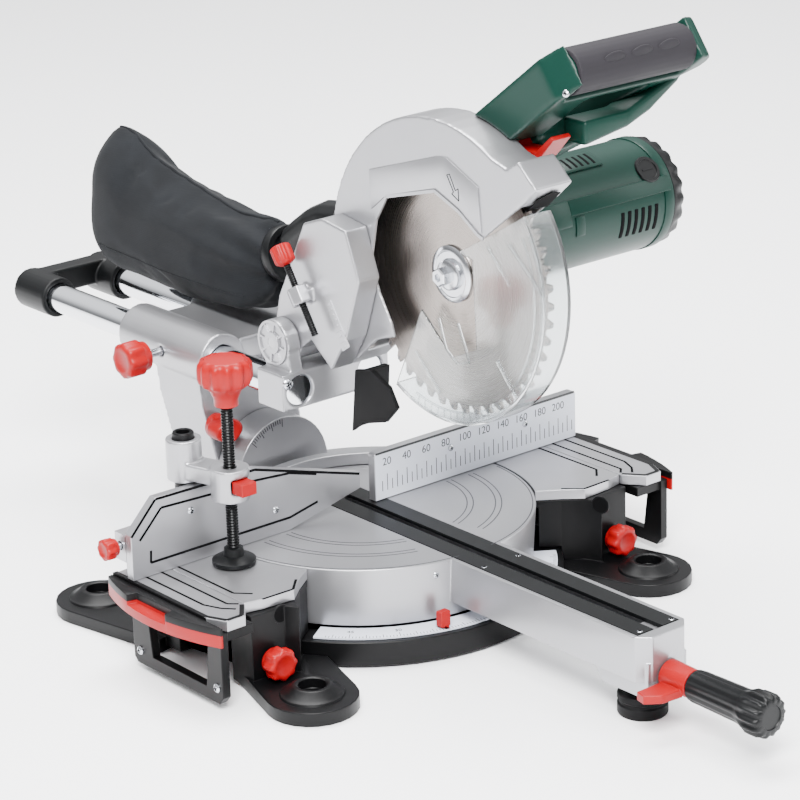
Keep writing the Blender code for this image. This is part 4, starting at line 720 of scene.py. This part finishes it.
# ------------------------------------------------------------------ blade
# Hardened steel saw plate, ground in circles and left bare, clamped by a bright flange with a
# hexagon bolt. The rings it is ground in throw the light into a radial fan.
axle_y, axle_z = -111, 212
blade_centre = at(0, axle_y, axle_z)
saw_steel, tree, shader = new_material("ground_saw_steel", "#968E88", 0.26, 1.0)
place = node(tree, "TexCoord")
centred = node(tree, "VectorMath", {"operation": "SUBTRACT"}, _0=(place, "Object"),
               _1=tuple(blade_centre))
flat = node(tree, "VectorMath", {"operation": "MULTIPLY"}, _0=(centred, "Vector"),
            _1=(0.0, 1.0, 1.0))
radius = node(tree, "VectorMath", {"operation": "LENGTH"}, _0=(flat, "Vector"))
# Rings 0.7 mm apart, coarser than real so that they show.
rings = node(tree, "TexNoise", {"noise_dimensions": "1D"}, W=(radius, "Value"), Scale=1400.0,
             Detail=3.0)
cloud = node(tree, "TexNoise", Vector=(place, "Object"), Scale=22.0, Detail=3.0)
scratch = node(tree, "Bump", Height=(rings, "Fac"), Strength=0.45, Distance=0.00004)
tree.links.new(scratch.outputs["Normal"], shader.inputs["Normal"])
shine = node(tree, "MapRange", Value=(rings, "Fac"), To_Min=0.2, To_Max=0.36)
tree.links.new(shine.outputs["Result"], shader.inputs["Roughness"])
tone = node(tree, "Mix", {"data_type": "RGBA"}, Factor=(cloud, "Fac"), _6=linear("#857D77"),
            _7=linear("#A59D97"))
tree.links.new(tone.outputs[2], shader.inputs["Base Color"])
softened("blade", 0, saw_steel, "steel")
tooth_count, tip_radius = 48, 0.1028
tips = bmesh.new()
for tooth in range(tooth_count):
    spin = Matrix.Rotation(math.radians(tooth * 360 / tooth_count + 1.5), 4, "X")
    bmesh.ops.create_cube(tips, size=1, matrix=Matrix.Translation(blade_centre) @ spin
                          @ Matrix.Translation((0, 0, tip_radius))
                          @ Matrix.Diagonal((0.0025, 0.0014, 0.0038, 1)))
carbide = grained("brazed_carbide", "#6F7072", 0.3, 0.6, 0.01, metallic=0.9)
fitted("carbide_tips", tips, carbide, "blade", "steel")
flange = turned([(0, 0), (21.3, 0), (21.4, 1.4), (19, 2.6), (17.4, 2.8), (16.8, 2.0), (12, 2.0),
                 (11.4, 5.2), (9.5, 6.2), (0, 6.2)], 56)
bolt = turned([(0, 6), (7.2, 6), (7.2, 13.4), (6.2, 14.4), (3.4, 14.4), (3.2, 11.8), (0, 11.8)], 6)
bright = grained("bright_zinc", "#CBCDD1", 0.2, 0.8, 0.01, metallic=1.0)
fitted("blade_flange_turned", placed(joined(flange, bolt), (-1.6, axle_y, axle_z), (-1, 0, 0)),
       bright, "blade", "steel", "blade_flange", smooth=30)
steel = grained("plain_steel", "#A9A9AB", 0.3, 0.9, 0.01, metallic=1.0)
for name in ("spindle", "pivot_pin", "tilt_bolt", "motor_rotor"):
    softened(name, 0, steel, "steel")

# ------------------------------------------------------------------ clear lower guard
# Injection-moulded clear polycarbonate with a thick rim and ribs moulded on its side: glossy,
# a little milky, and brighter along its edges.
clear = grained("clear_polycarbonate", "#EDF1F2", 0.09, 2.0, 0.01, shade=0.01,
                Transmission_Weight=0.97, IOR=1.58)
softened("lower_guard", 0.4, clear, "clear_plastic")


def swept(section, start, stop, steps):
    """A strip swept about X from one angle to another, its (radius, x) section in mm."""
    shape = bmesh.new()
    turn = Matrix.Rotation(math.radians(start), 4, "X")
    face = shape.faces.new([shape.verts.new(turn @ Vector((x, r, 0)) / 1000)
                            for r, x in section])
    bmesh.ops.spin(shape, geom=[face], cent=(0, 0, 0), axis=(1, 0, 0),
                   angle=math.radians(stop - start), steps=steps, use_merge=False,
                   use_duplicate=False)
    return shape


def guard_band(inner, outer, low, high, start, stop):
    """A strip round the blade's axis, its angles measured from the back towards the top."""
    shape = swept([(inner, low), (outer, low), (outer, high), (inner, high)], start, stop, 40)
    bmesh.ops.recalc_face_normals(shape, faces=shape.faces)
    bmesh.ops.translate(shape, verts=shape.verts, vec=blade_centre)
    return shape


bands = [guard_band(107.6, 109.2, -13.6, -12.3, 152, 290),
         guard_band(100.6, 101.8, -13.3, -12.3, 152, 288)]
rim_ribs = [[(-12.8, axle_y + reach * math.cos(a), axle_z + reach * math.sin(a))
             for reach in (102, 107.8)] for a in (math.radians(d) for d in range(154, 290, 4))]
bands.append(ribbons(rim_ribs, 0.7, 0.9, (-1, 0, 0)))
for start, end, wide in (((-186, 252), (-221, 222), 2.2), ((-171, 163), (-190, 141), 2.2),
                         ((-80, 148), (-107, 122), 2.2), ((-163, 246), (-186, 222), 1.4),
                         ((-107.7, 180), (-115, 158), 1.4), ((-115, 158), (-127, 150), 1.4),
                         ((-127, 150), (-141, 154), 1.4), ((-141, 154), (-129, 181), 1.4)):
    bands.append(ribbons([((-13, *start), (-13, *end))], wide, 1.4, (-1, 0, 0)))
fitted("lower_guard_ribs", joined(*bands), clear, "lower_guard", "clear_plastic")

# A flap of black sheet rubber hangs behind the blade and turns the chips into the duct.
softened("chip_flap", 0.6, black_rubber, "black_rubber")

# ------------------------------------------------------------------ motor and gear case
# Glass-filled nylon, moulded dark green with a fine spark texture, around a universal motor,
# with vent slots drawn as dark bands of painted shade, raised strips, a black brush cap and a
# fluted black end cap.
green_nylon = grained("green_nylon", "#03271F", 0.38, 0.9, 0.03, shade=0.05, Specular_IOR_Level=0.2)
moulded("gear_case", 1.3, 5, green_nylon, "green_plastic")
softened("motor_housing", 1.6, green_nylon, "green_plastic", 3)
motor_y, motor_z = -86, 227


def motor_band(low, high, start, stop, rise, steps=10):
    """A raised patch on the motor's barrel between two angles about its axis."""
    under, over = 42.5, 43 + rise
    shape = swept([(under, low), (over, low), (over, high), (under, high)], start, stop, steps)
    bmesh.ops.remove_doubles(shape, verts=shape.verts, dist=0.000001)
    bmesh.ops.recalc_face_normals(shape, faces=shape.faces)
    sharp = [edge for edge in shape.edges if edge.calc_face_angle(0) > 0.7]
    bmesh.ops.bevel(shape, geom=sharp, offset=0.0006, segments=2, profile=0.5, affect="EDGES",
                    material=-1)
    bmesh.ops.translate(shape, verts=shape.verts, vec=at(0, motor_y, motor_z))
    return shape


patches = [motor_band(100, 203, 150, 166, 1.1), motor_band(64, 100, 150, 176, 1.1),
           motor_band(104, 113, 168, 188, 0.9), motor_band(196, 205.5, 60, 300, 0.8, steps=60),
           motor_band(113, 150, 98, 122, 1.6)]
fitted("motor_relief", joined(*patches), green_nylon, "head", "green_plastic")
# The vent slots are dark bands of painted shade laid on the barrel.
slots = [motor_band(118 + 6 * k, 121 + 6 * k, 101, 119, 1.75) for k in range(5)]
slots += [motor_band(150 + 7 * k, 153.5 + 7 * k, 176, 204, 0.25) for k in range(6)]
fitted("motor_vents", joined(*slots), shade_paint_black, "head", "black_plastic")
cap = turned([(11, -3), (11, 0.6), (10.4, 1.6), (8.2, 1.6), (7.8, 0.9), (0, 0.9)], 40)
slit = bmesh.new()
bmesh.ops.create_cube(slit, size=1, matrix=Matrix.Translation((0, 0, 1.0))
                      @ Matrix.Diagonal((11, 1.6, 0.6, 1)))
fitted("brush_cap", placed(joined(cap, slit), (186.8, -118.6, 254.6), (0, -0.76, 0.645)),
       black_nylon, "head", "black_plastic")
vented = turned([(0, 0.2), (43, 0.2), (42.9, 2), (42.9, 5, 1.4), (41.8, 10.5, 2.2),
                 (38.8, 14, 2.4), (35, 15.2, 1.2), (30, 15.6), (14, 15.6), (13, 14.8),
                 (0, 14.8)], 120, 20)
fitted("motor_cap_fluted", placed(vented, (206.2, motor_y, motor_z), (1, 0, 0)), black_nylon,
       "head", "grey_rubber", "motor_cap", smooth=50)

# ------------------------------------------------------------------ handle
# Green nylon with a soft grey overmoulded grip that has three oval pads for the fingers, a
# bow in front of the hand, a screw in its flank, and a black trigger under the grip.
moulded("handle", 1.4, 20, green_nylon, "green_plastic")
bow = sheeted([(43, 315.5), (85, 322), (107, 330), (134, 346), (146, 357), (143, 363),
               (126, 350), (118, 347), (84, 333.5), (43, 333.5)], -205, -181, "Y", 0)
corners = [edge for edge in bow.edges if edge.calc_face_angle(0) > 0.2]
bmesh.ops.bevel(bow, geom=corners, offset=0.003, segments=3, profile=0.5, affect="EDGES",
                material=-1)
fitted("handle_bow", bow, green_nylon, "head", "green_plastic")
soft_grip = grained("soft_grey_rubber", "#1D1B1F", 0.7, 0.7, 0.06, Specular_IOR_Level=0.2)
moulded("handle_grip", 1.0, 5, soft_grip, "grey_rubber")
softened("trigger", 1.2, black_nylon, "black_plastic")
softened("spindle_lock", 0.6, black_nylon, "black_plastic")
screw_heads("handle_screws", [(11.8, -219.6, 361.8)], "head", 2.6, (-0.9, -0.35, 0.26))
pads = bmesh.new()
for x in (52, 78, 104):
    egg = bmesh.ops.create_uvsphere(pads, u_segments=24, v_segments=12, radius=1)["verts"]
    bmesh.ops.transform(pads, verts=egg, matrix=Matrix.Translation(at(x, -225.5, 380.5))
                        @ Matrix.Rotation(math.radians(-66), 4, "X")
                        @ Matrix.Diagonal((0.0105, 0.0062, 0.0022, 1)))
fitted("grip_pads", pads, soft_grip, "head", "grey_rubber")

# ------------------------------------------------------------------ dust duct and bag
# Black moulded elbow from the guard to a round collar, and a dustbag of woven polyester,
# sewn from two panels with a piped seam, gathered on the collar and puffed by the air.
moulded("dust_elbow", 1.2, 5, black_nylon, "black_plastic")

cloth, tree, shader = new_material("woven_polyester", "#101113", 0.85, Sheen_Weight=0.03,
                                   Sheen_Roughness=0.5, Specular_IOR_Level=0.12)
place = node(tree, "TexCoord")
# Threads 1.5 mm apart, three times as coarse as real so that they show.
warp, weft = (node(tree, "TexWave", {"bands_direction": way}, Vector=(place, "Object"),
                   Scale=210.0, Distortion=0.6) for way in "YZ")
weave = node(tree, "Math", {"operation": "MULTIPLY"}, _0=(warp, "Fac"), _1=(weft, "Fac"))
slub = node(tree, "TexNoise", Vector=(place, "Object"), Scale=45.0, Detail=4.0)
nap = node(tree, "Bump", Height=(weave, "Value"), Strength=0.5, Distance=0.00015)
tree.links.new(nap.outputs["Normal"], shader.inputs["Normal"])
tone = node(tree, "Mix", {"data_type": "RGBA"}, Factor=(slub, "Fac"), _6=linear("#0B0C0E"),
            _7=linear("#17191C"))
tree.links.new(tone.outputs[2], shader.inputs["Base Color"])

# (along the bag, half width, bottom, top) in mm, a little smaller than the air makes it. Its
# lower half is full and square; its upper half is drawn in to the seam.
bag_sections = [(93, 17, 150, 205), (103, 22, 140, 208), (122, 29, 132, 211),
                (148, 32, 129, 213), (190, 33, 128, 219), (230, 33.5, 128, 227),
                (262, 33.5, 128.5, 235), (288, 33, 129, 247), (306, 31, 132, 249),
                (316, 28, 138, 244), (322, 23, 146, 234)]
sack = bmesh.new()
bmesh.ops.create_circle(sack, segments=40, radius=1)
ring, edges = list(sack.verts), list(sack.edges)
for index, (along, half, low, high) in enumerate(bag_sections):
    if index:
        past = [corner.co.copy() for corner in ring]
        fresh, edges = next_ring(sack, edges)
        ring = [min(fresh, key=lambda corner: (corner.co - spot).length) for spot in past]
    for number, corner in enumerate(ring):
        angle = 2 * math.pi * number / len(ring)
        across, rise = math.sin(angle), math.cos(angle)
        if rise > 0:
            across *= 1 - 0.62 * rise ** 3
        else:
            across, rise = (math.copysign(abs(s) ** 0.45, s) for s in (across, rise))
        corner.co = at(half * across, along, (low + high) / 2 + (high - low) / 2 * rise)
bmesh.ops.holes_fill(sack, edges=sack.edges, sides=0)
bmesh.ops.recalc_face_normals(sack, faces=sack.faces)
bag = standing("dust_bag_cloth", sack, cloth, smooth=180)
skin = bag.modifiers.new("skin", "REMESH")
skin.mode = "VOXEL"
skin.voxel_size = 0.0042
skin.use_smooth_shade = True


def settle(piece):
    """Gives a piece the mesh that its modifiers make of it, and takes them off."""
    graph = bpy.context.evaluated_depsgraph_get()
    mesh = bpy.data.meshes.new_from_object(piece.evaluated_get(graph))
    piece.modifiers.clear()
    piece.data = mesh


settle(bag)
most_shift = 0.004
rest_shape = [corner.co.copy() for corner in bag.data.vertices]
puff = bag.modifiers.new("puff", "CLOTH")
puff.settings.quality = 8
puff.settings.mass = 0.2
puff.settings.tension_stiffness = puff.settings.compression_stiffness = 18
puff.settings.bending_stiffness = 0.4
puff.settings.use_pressure = True
puff.settings.uniform_pressure_force = 4
puff.settings.effector_weights.gravity = 0
for step in range(1, 21):
    bpy.context.scene.frame_set(step)
settle(bag)
bpy.context.scene.frame_set(1)
for corner, before in zip(bag.data.vertices, rest_shape):
    shift = corner.co - before
    if shift.length > most_shift:
        corner.co = before + shift.normalized() * most_shift
# Soft folds run back from the collar, deepest where the cloth is gathered, with shallow waves
# over the rest, and the cloth is kept between the lowest and highest corner of its space.
gathered_length, fold_depth, wave_depth = 0.055, 0.0042, 0.0019
low, high = at(-36, 88, 124), at(36, 328, 254)
for corner, normal in [(corner, corner.normal.copy()) for corner in bag.data.vertices]:
    near = math.exp(-(corner.co.y - low.y) / gathered_length)
    around = math.atan2(corner.co.z - at(0, 0, 172).z, corner.co.x)
    fold = math.sin(7 * around + 38 * corner.co.y + 1.3 * math.sin(60 * corner.co.z))
    wave = (math.sin(31 * corner.co.y + 55 * corner.co.z)
            * math.sin(47 * corner.co.z - 22 * corner.co.y + 1))
    corner.co += normal * (fold_depth * near * fold + wave_depth * wave)
    corner.co = Vector([min(max(c, a), b) for c, a, b in zip(corner.co, low, high)])
finer = bag.modifiers.new("finer", "SUBSURF")
finer.levels = finer.render_levels = 1
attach(bag, "head")
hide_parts("dust_bag")


def piped(name, points, radius):
    """A cord sewn into a seam of the bag: a round tube through points, its radius in mm."""
    curve = bpy.data.curves.new(name, "CURVE")
    curve.dimensions = "3D"
    curve.bevel_depth, curve.bevel_resolution, curve.resolution_u = radius / 1000, 3, 6
    curve.use_fill_caps = True
    spline = curve.splines.new("NURBS")
    spline.points.add(len(points) - 1)
    for spot, point in zip(spline.points, points):
        spot.co = (*point, 1)
    spline.use_endpoint_u = True
    spline.order_u = 3
    shape = solid_of(curve)
    bmesh.ops.remove_doubles(shape, verts=shape.verts, dist=0.00001)
    bmesh.ops.recalc_face_normals(shape, faces=shape.faces)
    fitted(name, shape, cloth, "head", "bag_cloth", smooth=60)


surface = BVHTree.FromObject(bag, bpy.context.evaluated_depsgraph_get())
seam = [surface.ray_cast(at(0, y, 300), Vector((0, 0, -1)))[0] for y in range(98, 312, 7)]
piped("bag_top_seam", seam, 1.3)
for number, side in enumerate((-1, 1)):
    seam = [surface.ray_cast(at(side * 80, y, 150 + (y - 100) * 0.02), Vector((-side, 0, 0)))[0]
            for y in range(112, 306, 8)]
    piped("bag_side_seam%d" % number, [point for point in seam if point], 0.7)
collar = turned([(17, 0), (21.5, 0), (22.5, 1.5), (22.5, 8.5), (21.5, 10), (17, 10), (17, 0)],
                56)
fitted("bag_collar", placed(collar, (0, 84, 186), (0, 0.9, -0.25)), black_nylon, "head",
       "black_plastic")
